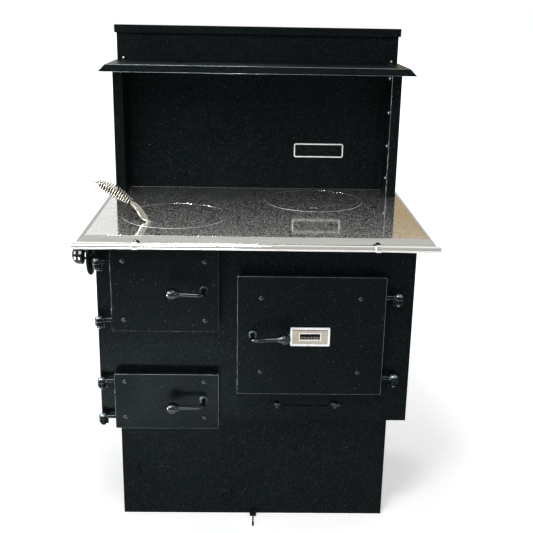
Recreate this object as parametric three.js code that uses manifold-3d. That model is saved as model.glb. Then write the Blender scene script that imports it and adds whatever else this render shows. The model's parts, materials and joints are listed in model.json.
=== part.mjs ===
// Wood cookstove on a pedestal: steel body, two-lid polished cooktop with a bevelled rim and a towel
// rail, splash back with two boxed columns, a warming shelf, and three hinged doors.
// Millimetres, +Z up, the front faces -Y, the origin is the centre of the pedestal's footprint.
import * as THREE from 'three';
import { mergeVertices } from 'three/addons/utils/BufferGeometryUtils.js';
import Module from 'manifold-3d';

const wasm = await Module();
wasm.setup();

// ---------------------------------------------------------------- clearances
const seatGap = 0.3; // between pieces that stand on or butt against each other
const turnGap = 0.6; // radial, round a pin or a spindle that turns
const slideGap = 1.0; // beside a piece that slides or lifts out

// ---------------------------------------------------------------- main sizes
const baseWidth = 797;
const baseDepth = 500;
const baseHeight = 350.2;
const baseSheet = 3;
const baseFlange = 25; // inward flange round the top of the pedestal

const bodyWidth = 889;
const bodyHalf = bodyWidth / 2;
const bodyDepth = 600;
const bodySetback = 53; // the body's front stands this far in front of the pedestal
const bodySheet = 3;
const frontThick = 6;
const floorThick = 6;

const cookHeight = 914;
const cookSide = 20.5; // crest outside the body's side
const cookOverhang = 32; // crest in front of the body's front plate
const cookRearward = 8; // rear edge behind the body
const cookWidth = bodyWidth + 2 * cookSide; // flat part, crest to crest
const cookDepth = bodyDepth + cookOverhang + cookRearward; // crest at the front to the rear edge
const cookPlate = 12;
const bevelRun = 21;
const bevelDrop = 14.5;
const apronDrop = 18.5;
const trimSheet = 3.5;

const railRadius = 9.5;
const railHalf = cookWidth / 2 + 28;
const railStandOff = 28; // rail axis in front of the apron
const railDrop = 16.5; // rail axis below the cooktop
const railPostX = 324;
const railPostRadius = 6;
const railCollarRadius = 11.5;
const railCollarHalf = 8;

const lidRadius = 155;
const lidLedge = 11; // width of the ledge that each lid rests on
const lidFlange = 6; // thickness of the lid at its rim
const lidPlug = 6; // depth of the part of the lid inside its hole
const lidSides = 36;
const lidRibs = [0.387 * lidRadius, 0.761 * lidRadius]; // radii of the raised rings under a lid
const lidRibWide = 9;
const lidRibDeep = 4;
const lids = [
  { name: 'lid_front_left', x: -0.2587 * cookWidth, fromFront: 0.3639 * cookDepth, slotTurn: -128.4 },
  { name: 'lid_rear_right', x: 0.1973 * cookWidth, fromFront: 0.7072 * cookDepth, slotTurn: -93.6 },
];
const slotRadius = 0.7 * lidRadius; // centre of a lifter slot from the lid's centre
const slotLong = 21;
const slotWide = 12;
const slotDeep = 8;

const splashInset = 7; // the splash back's face in front of the cooktop's rear edge
const splashSheet = 2;
const splashHalf = cookWidth / 2 - 8;
const columnHalf = splashHalf - 1; // outer face of each splash column
const columnWide = 31;
const columnDeep = 122;
const columnSheet = 1.6;
const columnLip = 14;

const shelfRise = 421; // shelf's top above the cooktop
const shelfTop = cookHeight + shelfRise;
const shelfHalf = cookWidth / 2 - 3.5; // to the bend of the side lips
const shelfDeep = 231.5; // splash back to the bend of the front lip
const shelfSheet = 2;
const shelfLipRun = 18.5;
const shelfLipDrop = 20.5;

const capRise = 530.5; // cap's top above the cooktop
const capTop = cookHeight + capRise;
const capHalf = cookWidth / 2 - 2.5;
const capBand = 25;
const capSheet = 2;
const capForward = 10; // cap's front wall in front of the splash back

// ---------------------------------------------------------------- doors
const doorThick = 18;
const doorSheet = 5;
const doorRim = 52; // solid rim of a door, which carries the gasket, the liner and the spindle
const doorCorner = 4;
const gasketWide = 12;
const gasketLap = 5; // gasket's inner edge outside the opening's edge
const linerSheet = 3;
const linerClear = 9; // liner inside the opening, all round
const openingCorner = 10;

const hingeOut = 37; // hinge axis beyond the door's edge
const hingeForward = 22; // hinge axis in front of the body's front plate
const hingeRadius = 12;
const hingePin = 5;
const hingeEye = 9; // height of the strap and its eye
const hingeKnuckle = 12;
const hingeNut = 9;
const hingeNutRadius = 8;
const hingeHead = 5;
const hingeHeadRadius = 9;
const hingePad = 6; // thickness of the pad bolted to the front plate
const strapThick = 8;

const spindleRadius = 6;
const handleStandOff = 48; // handle rod's axis in front of the door's face
const handleBend = 14;
const bossRadius = 10.5;
const bossLong = 7;
const knobRadius = 17;
const knobSocket = 14; // depth of the rod's end inside a knob
const latchThick = 6;
const latchHub = 11;
const latchBehind = 1.5; // latch nose behind the front plate's rear face
const latchShort = 3; // latch nose inside the opening's edge, so that the door swings free of the plate

const doorLap = 25; // door's edge outside its opening
const leftDoorsIn = 44.5; // hinge edge of the fire and ash doors from the body's side
const leftDoorsWide = 297;
const ovenDoorIn = 83; // hinge edge of the oven door from the body's side
const betweenDoors = 52;
const fireDoorDrop = 41; // fire door's top edge below the cooktop
const fireDoorHigh = 236;
const ashDoorDrop = 14.7; // ash door's lower edge below the pedestal's top
const ashDoorHigh = 170;
const ashSill = 12.5; // ash opening above the body's floor
const ovenDoorDrop = 113; // oven door's top edge below the cooktop
const ovenDoorRise = 97.8; // oven door's lower edge above the pedestal's top

// ---------------------------------------------------------------- inside
const fireWall = 6; // steel of the firebox and ash chamber
const fireSide = 38.5; // from the body's side to the firebox
const fireWide = 300;
const fireLeft = -bodyHalf + fireSide; // outer faces of the firebox weldment
const fireRight = fireLeft + fireWide;
const fireDeep = 470;
const smokeDrop = 68; // the right wall's top below the cooktop; smoke passes over it
const hearthDrop = 44; // ledge that carries the grate and the bricks, below the fire opening
const hearthThick = 8;
const brickThick = 25;
const brickDrop = 114; // bricks' top below the cooktop
const brickTop = cookHeight - brickDrop;
const brickSetback = 30; // bricks behind the front plate, clear of the latch
const grateWide = 190;
const grateLong = 330;
const grateThick = 14;
const grateSeat = 10; // the grate overlaps its hole by this much all round
const grateSlots = 8;
const grateBehind = 24; // grate behind the front of the bricks
const panLedge = 46; // shelf along each side of the ash chamber, level with the opening
const panWide = 234;
const panDeep = 380;
const panHigh = 88;
const panSheet = 2;
const panFromFront = 40;
const panPullHalf = 45;
const panPullThick = 6;
const panPullOut = 22;
const panPullRise = 60;

const ovenSideIn = 9; // oven's inside from the door's edges
const ovenFloorIn = 14;
const ovenRoofIn = 11;
const ovenDeep = 480;
const ovenSheet = 3;
const runnerWide = 10;
const runnerHigh = 4;
const runnerRise = 150; // runner's top above the oven's floor
const rackWire = 3;
const rackFrame = 4;
const rackWires = 11;
const rackFromFront = 34;
const rackDeep = 400;

const cleanoutLeft = 62;
const cleanoutWide = 187;
const cleanoutRise = 13.8; // opening above the pedestal's top
const cleanoutHigh = 26;
const coverLap = 12; // cover's ends beyond the opening
const coverBelow = 9;
const coverAbove = 7.5;
const coverThick = 3;
const turnButtons = [
  { label: 'left', x: cleanoutLeft + 3.5, wide: 20, tilt: 0 },
  { label: 'right', x: cleanoutLeft + 174, wide: 29, tilt: 10 },
];
const turnButtonRise = 13; // stud above the opening
const turnButtonStud = 4;
const turnButtonHead = 6.5;

const flueRadius = 76;
const flueWall = 3;
const flueDrop = 114; // axis below the cooktop
const flueLong = 42;
const flueFlange = 96;

const draftFromFront = 150; // draft axis behind the cooktop's crest
const draftDrop = 100; // draft axis below the cooktop
const draftBore = 38;
const draftWall = 3;
const draftOut = 27.5; // collar's rim outside the body's side
const draftFlange = 52;
const draftDiscRadius = 59;
const draftDiscEdge = 9;
const draftOpen = 2.5; // how far the disc stands off the collar at rest
const draftSpindle = 5;
const draftHubRadius = 8;
const draftKnobRadius = 28.5;
const draftKnobLong = 38;
const draftHubLong = 8;

const meterLeft = 1.95; // meter's centre to the left of the oven door's middle
const meterRise = 178; // meter's centre above the door's lower edge
const meterWide = 111;
const meterHigh = 54.5;
const meterRim = 5.5;
const meterProud = 5;
const meterPlateBack = 1.6; // face plate set back from the rim's front
const meterWindow = [58, 18.5];
const meterCup = [88, 40];
const meterCupDeep = 9;
const pointerLong = 22;
const pointerPivotRise = 14; // pivot above the window's centre, hidden by the face plate

const pullRadius = 2.6;
const pullTipRadius = 3.8;
const pullTipLong = 28;
const pullOut = 85; // the rod's tip in front of the pedestal
const pullIn = 90;
const pullHeight = 8;

// ---------------------------------------------------------------- derived planes
const baseFront = -baseDepth / 2;
const bodyFront = baseFront - bodySetback;
const bodyRear = bodyFront + bodyDepth;
const frontBack = bodyFront + frontThick; // rear face of the front plate
const bodyBottom = baseHeight + seatGap;
const floorTop = bodyBottom + floorThick;
const bodyTop = cookHeight - cookPlate - seatGap;
const crestFront = bodyFront - cookOverhang;
const cookRear = crestFront + cookDepth;
const cookHalf = cookWidth / 2;
const apronFront = crestFront - bevelRun;
const splashFace = cookRear - splashInset;
const innerLeft = -bodyHalf + bodySheet;
const innerRight = bodyHalf - bodySheet;
const doorFront = crestFront;
const doorBack = doorFront + doorThick;
const gasketFront = doorBack + seatGap;
const gasketBack = bodyFront - seatGap;
const latchFront = frontBack + latchBehind;
const linerBack = latchFront - turnGap;
const railY = apronFront - railStandOff;
const railZ = cookHeight - railDrop;
const hingeY = bodyFront - hingeForward;
const draftHeight = cookHeight - draftDrop;
const flueHeight = cookHeight - flueDrop;

// ---------------------------------------------------------------- places of the doors
// A door's hinges are measured from its top and lower edges, its spindle from its latch edge and its
// lower edge, and its knob from the spindle, away from the latch edge.
function placeDoor({ name, x, z, hingeSide, hingeIn, spindleIn, spindleRise, knobOut, knobUp, openingLow }) {
  const latchEdge = hingeSide < 0 ? x[1] : x[0];
  const spindle = [latchEdge + hingeSide * spindleIn, z[0] + spindleRise];
  return {
    name,
    x,
    z,
    hingeSide,
    spindle,
    opening: { x: [x[0] + doorLap, x[1] - doorLap], z: [openingLow ?? z[0] + doorLap, z[1] - doorLap] },
    hingeZ: [z[1] - hingeIn[0], z[0] + hingeIn[1]],
    knobAt: [spindle[0] + hingeSide * knobOut, spindle[1] + knobUp],
  };
}

const leftDoorsX = [-bodyHalf + leftDoorsIn, -bodyHalf + leftDoorsIn + leftDoorsWide];
const ovenDoorX = [leftDoorsX[1] + betweenDoors, bodyHalf - ovenDoorIn];
const fireDoorTop = cookHeight - fireDoorDrop;
const ashDoorLow = baseHeight - ashDoorDrop;
const ovenDoorZ = [baseHeight + ovenDoorRise, cookHeight - ovenDoorDrop];
const doors = [
  {
    name: 'fire', x: leftDoorsX, z: [fireDoorTop - fireDoorHigh, fireDoorTop], hingeSide: -1,
    hingeIn: [37, 30], spindleIn: 41, spindleRise: 123, knobOut: 84, knobUp: 4,
  },
  {
    name: 'ash', x: leftDoorsX, z: [ashDoorLow, ashDoorLow + ashDoorHigh], hingeSide: -1,
    hingeIn: [24.5, 32.5], spindleIn: 43, spindleRise: 91.5, knobOut: 86, knobUp: -3,
    openingLow: floorTop + ashSill,
  },
  {
    name: 'oven', x: ovenDoorX, z: ovenDoorZ, hingeSide: 1,
    hingeIn: [60, 49], spindleIn: 43, spindleRise: 182, knobOut: 88, knobUp: 6,
  },
].map(placeDoor);
const [fireDoor, ashDoor] = doors;

const hearthTop = fireDoor.opening.z[0] - hearthDrop;
const fireRightTop = cookHeight - smokeDrop;
const grateCentreY = frontBack + brickSetback + grateBehind + grateLong / 2;
const panShelf = ashDoor.opening.z[0] + 0.5;
const ovenX = [ovenDoorX[0] + ovenSideIn, ovenDoorX[1] - ovenSideIn];
const ovenZ = [ovenDoorZ[0] + ovenFloorIn, ovenDoorZ[1] - ovenRoofIn];
const runnerTop = ovenZ[0] + runnerRise;
const meterCentre = [(ovenDoorX[0] + ovenDoorX[1]) / 2 - meterLeft, ovenDoorZ[0] + meterRise];
const cleanoutLow = baseHeight + cleanoutRise;
const cleanout = { x: [cleanoutLeft, cleanoutLeft + cleanoutWide], z: [cleanoutLow, cleanoutLow + cleanoutHigh] };
const turnButtonZ = cleanout.z[1] + turnButtonRise;

// ---------------------------------------------------------------- materials
const paint = (colour, roughness, metalness) =>
  new THREE.MeshStandardMaterial({ color: colour, roughness, metalness });
const blackPaint = paint(0x14191b, 0.5, 0.25);
const blackGloss = paint(0x0c0e10, 0.22, 0.2);
const knobBlack = paint(0x0b0c0d, 0.16, 0.0);
const rawSteel = paint(0x3c3f42, 0.6, 0.6);
const polishedSteel = paint(0xb9bbb4, 0.18, 1.0);
const stainless = paint(0xc9c8bf, 0.22, 1.0);
const chrome = paint(0xd6d8d8, 0.1, 1.0);
const castIron = paint(0x26282a, 0.75, 0.5);
const fireBrick = paint(0xb59d78, 0.95, 0.0);
const rope = paint(0x1d1e1f, 0.95, 0.0);
const galvanised = paint(0x8f9394, 0.5, 0.7);
const dialFace = paint(0xd9d6c6, 0.6, 0.1);
const pointerRed = paint(0xa5281e, 0.5, 0.1);

// ---------------------------------------------------------------- solids
function weld(geometry) {
  const bare = geometry.index ? geometry.toNonIndexed() : geometry.clone();
  for (const name of Object.keys(bare.attributes)) if (name !== 'position') bare.deleteAttribute(name);
  const merged = mergeVertices(bare, 1e-3);
  const kept = [];
  const index = merged.index.array;
  for (let i = 0; i < index.length; i += 3) {
    const [a, b, c] = [index[i], index[i + 1], index[i + 2]];
    if (a !== b && b !== c && c !== a) kept.push(a, b, c);
  }
  merged.setIndex(kept);
  return merged;
}

function toSolid(geometry) {
  const merged = weld(geometry);
  return new wasm.Manifold(new wasm.Mesh({
    numProp: 3,
    vertProperties: new Float32Array(merged.attributes.position.array),
    triVerts: new Uint32Array(merged.index.array),
  }));
}

function toGeometry(solid) {
  const mesh = solid.getMesh();
  const geometry = new THREE.BufferGeometry();
  geometry.setAttribute('position', new THREE.BufferAttribute(new Float32Array(mesh.vertProperties), 3));
  geometry.setIndex(new THREE.BufferAttribute(new Uint32Array(mesh.triVerts), 1));
  const faceted = geometry.toNonIndexed();
  faceted.computeVertexNormals();
  return faceted;
}

const join = (...parts) => toGeometry(parts.map(toSolid).reduce((sum, part) => sum.add(part)));
const cut = (body, ...tools) =>
  toGeometry(tools.map(toSolid).reduce((rest, tool) => rest.subtract(tool), toSolid(body)));

function block(x0, x1, y0, y1, z0, z1) {
  const box = new THREE.BoxGeometry(x1 - x0, y1 - y0, z1 - z0);
  return box.translate((x0 + x1) / 2, (y0 + y1) / 2, (z0 + z1) / 2);
}

// A rectangle in two coordinates with round corners, as a Shape or a hole.
function roundRect(u0, u1, v0, v1, radius, Kind = THREE.Shape) {
  const path = new Kind();
  path.moveTo(u0 + radius, v0);
  path.lineTo(u1 - radius, v0);
  path.absarc(u1 - radius, v0 + radius, radius, -Math.PI / 2, 0, false);
  path.lineTo(u1, v1 - radius);
  path.absarc(u1 - radius, v1 - radius, radius, 0, Math.PI / 2, false);
  path.lineTo(u0 + radius, v1);
  path.absarc(u0 + radius, v1 - radius, radius, Math.PI / 2, Math.PI, false);
  path.lineTo(u0, v0 + radius);
  path.absarc(u0 + radius, v0 + radius, radius, Math.PI, 1.5 * Math.PI, false);
  return path;
}

function polygon(points, Kind = THREE.Shape) {
  const path = new Kind();
  points.forEach(([u, v], i) => (i ? path.lineTo(u, v) : path.moveTo(u, v)));
  path.closePath();
  return path;
}

function circleHole(u, v, radius) {
  const path = new THREE.Path();
  path.absarc(u, v, radius, 0, 2 * Math.PI, false);
  return path;
}

// A flat outline in X and Z, with thickness from y0 to y1.
function plateXZ(shape, y0, y1, curveSegments = 6) {
  const flat = new THREE.ExtrudeGeometry(shape, { depth: y1 - y0, bevelEnabled: false, curveSegments });
  return flat.rotateX(Math.PI / 2).translate(0, y1, 0);
}

// A flat outline in Y and Z, with thickness from x0 to x1.
function plateYZ(shape, x0, x1, curveSegments = 12) {
  const flat = new THREE.ExtrudeGeometry(shape, { depth: x1 - x0, bevelEnabled: false, curveSegments });
  const turn = new THREE.Matrix4().makeBasis(
    new THREE.Vector3(0, 1, 0), new THREE.Vector3(0, 0, 1), new THREE.Vector3(1, 0, 0));
  return flat.applyMatrix4(turn).translate(x0, 0, 0);
}

// A flat outline in X and Y, with thickness from z0 to z1.
function plateXY(shape, z0, z1, curveSegments = 6) {
  return new THREE.ExtrudeGeometry(shape, { depth: z1 - z0, bevelEnabled: false, curveSegments })
    .translate(0, 0, z0);
}

// A turned solid: profile points are [radius, distance along the axis], with the axis through `at`.
function turned(profile, axis, at, segments = 24) {
  let points = profile.map(([radius, along]) => new THREE.Vector2(radius, along));
  let area = 0;
  points.forEach((p, i) => {
    const q = points[(i + 1) % points.length];
    area += p.x * q.y - q.x * p.y;
  });
  if (area < 0) points.reverse();
  const closedRing = profile.every(([radius]) => radius > 0);
  if (closedRing) points.push(points[0].clone());
  const solid = new THREE.LatheGeometry(points, segments);
  if (axis === 'x') solid.rotateZ(-Math.PI / 2);
  if (axis === 'z') solid.rotateX(Math.PI / 2);
  return solid.translate(...at);
}

const rod = (radius, axis, from, to, at, segments = 16) =>
  turned([[0, from], [radius, from], [radius, to], [0, to]], axis, at, segments);

// A closed solid through rings of equal point count; the first and last rings are its flat ends.
function loft(rings) {
  const count = rings[0].length;
  const position = rings.flatMap((ring) => ring.flatMap((p) => [p.x, p.y, p.z]));
  const index = [];
  const normal = new THREE.Vector3();
  rings[0].forEach((p, i) => {
    const q = rings[0][(i + 1) % count];
    normal.add(new THREE.Vector3().crossVectors(p, q));
  });
  normal.normalize();
  const u = new THREE.Vector3().subVectors(rings[0][1], rings[0][0]).normalize();
  const v = new THREE.Vector3().crossVectors(normal, u);
  const flat = (ring) => ring.map((p) => new THREE.Vector2(p.dot(u), p.dot(v)));
  const capTriangles = THREE.ShapeUtils.triangulateShape(flat(rings[0]), []);
  const last = (rings.length - 1) * count;
  for (const [a, b, c] of capTriangles) index.push(a, b, c, last + a, last + c, last + b);
  for (let r = 0; r < rings.length - 1; r += 1) {
    for (let i = 0; i < count; i += 1) {
      const a = r * count + i;
      const b = r * count + ((i + 1) % count);
      index.push(a, a + count, b, b, a + count, b + count);
    }
  }
  const solid = new THREE.BufferGeometry();
  solid.setAttribute('position', new THREE.Float32BufferAttribute(position, 3));
  solid.setIndex(index);
  if (toSolid(solid).volume() < 0) {
    for (let i = 0; i < index.length; i += 3) [index[i + 1], index[i + 2]] = [index[i + 2], index[i + 1]];
    solid.setIndex(index);
  }
  return solid;
}

// ---------------------------------------------------------------- scene graph
const stove = new THREE.Group();

function add(name, geometry, material) {
  const mesh = new THREE.Mesh(geometry, material);
  mesh.name = name;
  stove.add(mesh);
  return mesh;
}

// ---------------------------------------------------------------- pedestal
function pedestal() {
  const half = baseWidth / 2;
  const shell = block(-half, half, -baseDepth / 2, baseDepth / 2, 0, baseHeight);
  const hollow = block(-half + baseSheet, half - baseSheet, -baseDepth / 2 + baseSheet,
    baseDepth / 2 - baseSheet, baseSheet, baseHeight - baseSheet);
  const mouth = block(-half + baseFlange, half - baseFlange, -baseDepth / 2 + baseFlange,
    baseDepth / 2 - baseFlange, baseSheet, baseHeight + 1);
  const guideLong = 18;
  const guide = plateYZ(polygon([
    [baseFront - guideLong, 0], [baseFront + baseSheet, 0], [baseFront + baseSheet, 20],
    [baseFront, 20], [baseFront - guideLong, 2 * pullHeight - 3],
  ]), -10, 10);
  const bore = rod(pullRadius + turnGap, 'y', baseFront - guideLong - 1, baseFront + baseSheet + 1,
    [0, 0, pullHeight], 12);
  const box = cut(shell, hollow, mouth);
  add('pedestal_base', cut(join(box, guide), bore), blackPaint);

  const tipFront = baseFront - pullOut;
  add('air_slide_rod', turned([
    [0, tipFront], [pullTipRadius - 1, tipFront], [pullTipRadius, tipFront + 2],
    [pullTipRadius, tipFront + pullTipLong - 4], [pullRadius, tipFront + pullTipLong],
    [pullRadius, baseFront + pullIn], [0, baseFront + pullIn],
  ], 'y', [0, 0, pullHeight], 12), chrome);
}

// ---------------------------------------------------------------- body casing
function casing() {
  add('body_floor', block(innerLeft + seatGap, innerRight - seatGap, frontBack + seatGap,
    bodyRear - bodySheet - seatGap, bodyBottom, floorTop), blackPaint);

  const face = roundRect(-bodyHalf, bodyHalf, bodyBottom, bodyTop, 1);
  for (const { opening } of doors) {
    face.holes.push(roundRect(opening.x[0], opening.x[1], opening.z[0], opening.z[1],
      openingCorner, THREE.Path));
  }
  face.holes.push(roundRect(cleanout.x[0], cleanout.x[1], cleanout.z[0], cleanout.z[1], 5, THREE.Path));
  for (const { x } of turnButtons) {
    face.holes.push(circleHole(x, turnButtonZ, turnButtonStud + 2 * turnGap));
  }
  add('front_plate', plateXZ(face, bodyFront, frontBack, 3), blackPaint);

  const sideShape = () => polygon([
    [frontBack + seatGap, bodyBottom], [bodyRear, bodyBottom], [bodyRear, bodyTop],
    [frontBack + seatGap, bodyTop],
  ]);
  const leftShape = sideShape();
  leftShape.holes.push(circleHole(crestFront + draftFromFront, draftHeight,
    draftBore + draftWall + seatGap));
  add('side_panel_left', plateYZ(leftShape, -bodyHalf, innerLeft, 16), blackPaint);
  add('side_panel_right', plateYZ(sideShape(), innerRight, bodyHalf), blackPaint);

  const rearShape = polygon([
    [innerLeft + seatGap, bodyBottom], [innerRight - seatGap, bodyBottom],
    [innerRight - seatGap, bodyTop], [innerLeft + seatGap, bodyTop],
  ]);
  rearShape.holes.push(circleHole(0, flueHeight, flueRadius + seatGap));
  add('rear_panel', plateXZ(rearShape, bodyRear - bodySheet, bodyRear, 16), blackPaint);

  const collarIn = bodyRear - bodySheet - 8;
  add('flue_collar', turned([
    [flueRadius - flueWall, collarIn], [flueRadius, collarIn], [flueRadius, bodyRear + seatGap],
    [flueFlange, bodyRear + seatGap], [flueFlange, bodyRear + seatGap + 4],
    [flueRadius, bodyRear + seatGap + 4], [flueRadius, bodyRear + flueLong],
    [flueRadius - flueWall, bodyRear + flueLong],
  ], 'y', [0, 0, flueHeight], 32), blackPaint);
}

// ---------------------------------------------------------------- cooktop
const lidCentres = lids.map(({ x, fromFront }) => [x, crestFront + fromFront]);

function cooktop() {
  const plate = block(-cookHalf + seatGap, cookHalf - seatGap, crestFront + seatGap, cookRear,
    cookHeight - cookPlate, cookHeight);
  const holes = lidCentres.flatMap(([x, y]) => [
    rod(lidRadius + slideGap, 'z', cookHeight - lidFlange - seatGap, cookHeight + 1, [x, y, 0],
      lidSides),
    rod(lidRadius - lidLedge, 'z', cookHeight - cookPlate - 1, cookHeight, [x, y, 0], lidSides),
  ]);
  add('cooktop_plate', cut(plate, ...holes), polishedSteel);

  // The rim's section runs down the left side, across the front and up the right side, with mitres.
  const slope = bevelDrop / bevelRun;
  const inner = bevelRun - trimSheet;
  const under = trimSheet * Math.hypot(1, slope);
  const section = [
    [0, cookHeight], [bevelRun, cookHeight - bevelDrop],
    [bevelRun, cookHeight - bevelDrop - apronDrop], [inner, cookHeight - bevelDrop - apronDrop],
    [inner, cookHeight - inner * slope - under], [0, cookHeight - under],
  ];
  const station = (x, y, outX, outY) => section.map(([out, z]) =>
    new THREE.Vector3(x + out * outX, y + out * outY, z));
  add('cooktop_trim', loft([
    station(-cookHalf, cookRear, -1, 0), station(-cookHalf, crestFront, -1, -1),
    station(cookHalf, crestFront, 1, -1), station(cookHalf, cookRear, 1, 0),
  ]), stainless);

  const railEnd = 2.5;
  const bar = turned([
    [0, -railHalf], [railRadius - railEnd, -railHalf], [railRadius, -railHalf + railEnd],
    [railRadius, railHalf - railEnd], [railRadius - railEnd, railHalf], [0, railHalf],
  ], 'x', [0, railY, railZ], 16);
  const fittings = [-railPostX, railPostX].flatMap((x) => [
    rod(railCollarRadius, 'x', -railCollarHalf, railCollarHalf, [x, railY, railZ], 16),
    rod(railPostRadius, 'y', railY, apronFront - seatGap, [x, 0, railZ], 10),
    rod(railCollarRadius, 'y', apronFront - seatGap - 3, apronFront - seatGap, [x, 0, railZ], 16),
  ]);
  add('front_rail', join(bar, ...fittings), stainless);
}

// One lid: a flat disc on a ledge, a plug inside the hole, raised rings beneath and a lifter slot.
function lid({ name, slotTurn }, [x, y]) {
  const underside = cookHeight - lidFlange;
  const plugRadius = lidRadius - lidLedge - slideGap;
  const plugBottom = underside - lidPlug;
  const rings = lidRibs.flatMap((radius) => [
    [radius - lidRibWide / 2, plugBottom], [radius - lidRibWide / 2, plugBottom - lidRibDeep],
    [radius + lidRibWide / 2, plugBottom - lidRibDeep], [radius + lidRibWide / 2, plugBottom],
  ]);
  const disc = turned([
    [0, plugBottom], ...rings, [plugRadius, plugBottom], [plugRadius, underside],
    [lidRadius, underside], [lidRadius, cookHeight - 0.8], [lidRadius - 0.8, cookHeight],
    [0, cookHeight],
  ], 'z', [x, y, 0], lidSides);
  const slot = plateXY(roundRect(-slotWide / 2, slotWide / 2, -slotLong / 2, slotLong / 2,
    slotWide / 2 - 0.5), cookHeight - slotDeep, cookHeight + 1, 4);
  slot.translate(slotRadius, 0, 0).rotateZ(THREE.MathUtils.degToRad(slotTurn)).translate(x, y, 0);
  add(name, cut(disc, slot), polishedSteel);
}

// ---------------------------------------------------------------- lid lifter
const lifterRod = 4.5;
const lifterTipLong = 27;
const lifterRise = [ // rod's centre line, from its foot: sideways to the left, and up
  [0, 0], [0, 7], [8.2, 19.4], [22, 36.7], [36, 49.8], [49.7, 62.7],
];
const gripWire = 3.4;
const gripTurns = 16;
const gripEndRadius = 8.6;
const gripMidRadius = 12;
const gripLong = 104;
const gripSlope = [32, 22]; // degrees above level, at its start and its end
const gripSteps = 8; // per turn
const gripSides = 5;

function lifter() {
  const turn = THREE.MathUtils.degToRad(lids[0].slotTurn);
  const footX = lidCentres[0][0] + slotRadius * Math.cos(turn);
  const footY = lidCentres[0][1] + slotRadius * Math.sin(turn);
  const footZ = cookHeight - slotDeep + seatGap;
  const start = lifterRise[lifterRise.length - 1];

  // The grip's axis bends evenly from one slope to the other.
  const axisPoint = (t) => {
    const slopes = gripSlope.map(THREE.MathUtils.degToRad);
    const samples = 12;
    let [out, up] = start;
    for (let i = 0; i < samples; i += 1) {
      const angle = slopes[0] + (slopes[1] - slopes[0]) * t * ((i + 0.5) / samples);
      out += Math.cos(angle) * gripLong * t / samples;
      up += Math.sin(angle) * gripLong * t / samples;
    }
    const angle = slopes[0] + (slopes[1] - slopes[0]) * t;
    const point = new THREE.Vector3(footX - out, footY, footZ + up);
    const along = new THREE.Vector3(-Math.cos(angle), 0, Math.sin(angle));
    const normal = new THREE.Vector3(Math.sin(angle), 0, Math.cos(angle));
    return { point, along, normal };
  };

  const inside = [0.25, 0.5, 0.75, 1].map((t) => axisPoint(t).point);
  const end = axisPoint(1);
  const tip = end.point.clone().addScaledVector(end.along, lifterTipLong);
  const route = new THREE.CatmullRomCurve3([
    ...lifterRise.map(([out, up]) => new THREE.Vector3(footX - out, footY, footZ + up)),
    ...inside, tip,
  ], false, 'centripetal');
  const section = polygon(Array.from({ length: 8 }, (_, i) =>
    [lifterRod * Math.cos(i * Math.PI / 4), lifterRod * Math.sin(i * Math.PI / 4)]));
  add('lid_lifter', new THREE.ExtrudeGeometry(section, { steps: 26, extrudePath: route }), chrome);

  // The wire: straight out from the rod, round the grip, and straight back in.
  const swell = (t) => gripEndRadius + (gripMidRadius - gripEndRadius) * Math.sin(Math.PI * t);
  const steps = gripTurns * gripSteps;
  const centre = [];
  const radial = (frame, phase) => frame.normal.clone().multiplyScalar(Math.cos(phase))
    .addScaledVector(new THREE.Vector3(0, 1, 0), Math.sin(phase));
  for (let i = 0; i <= steps; i += 1) {
    const t = 0.03 + 0.94 * (i / steps);
    const frame = axisPoint(t);
    const out = radial(frame, 2 * Math.PI * i / gripSteps);
    centre.push(frame.point.clone().addScaledVector(out, swell(i / steps)));
  }
  const endIn = (t, phase) => {
    const frame = axisPoint(t);
    return frame.point.clone().addScaledVector(radial(frame, phase), lifterRod + seatGap);
  };
  centre.unshift(endIn(0.03, 0));
  centre.push(endIn(0.97, 2 * Math.PI * gripTurns));

  let nearest = Infinity;
  for (let i = 0; i < centre.length; i += 1) {
    for (let j = i + gripSteps - 2; j < centre.length; j += 1) {
      nearest = Math.min(nearest, centre[i].distanceTo(centre[j]) - gripWire);
    }
  }
  console.log(`lifter grip: ${gripTurns} turns, least gap between turns ${nearest.toFixed(2)} mm`);
  add('lifter_grip', wire(centre, gripWire / 2, gripSides), chrome);
}

// An unbroken wire along a list of points, carried from ring to ring without twist.
function wire(centre, radius, sides) {
  const tangent = centre.map((p, i) => {
    if (i === 0) return centre[1].clone().sub(p).normalize();
    if (i === centre.length - 1) return p.clone().sub(centre[i - 1]).normalize();
    const before = p.clone().sub(centre[i - 1]).normalize();
    return centre[i + 1].clone().sub(p).normalize().add(before).normalize();
  });
  let normal = new THREE.Vector3(0.31, 0.9, 0.27).cross(tangent[0]).normalize();
  const rings = centre.map((p, i) => {
    normal = normal.sub(tangent[i].clone().multiplyScalar(normal.dot(tangent[i]))).normalize();
    const side = tangent[i].clone().cross(normal);
    return Array.from({ length: sides }, (_, k) => {
      const angle = 2 * Math.PI * k / sides;
      return p.clone().addScaledVector(normal, radius * Math.cos(angle))
        .addScaledVector(side, radius * Math.sin(angle));
    });
  });
  return loft(rings);
}

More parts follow.
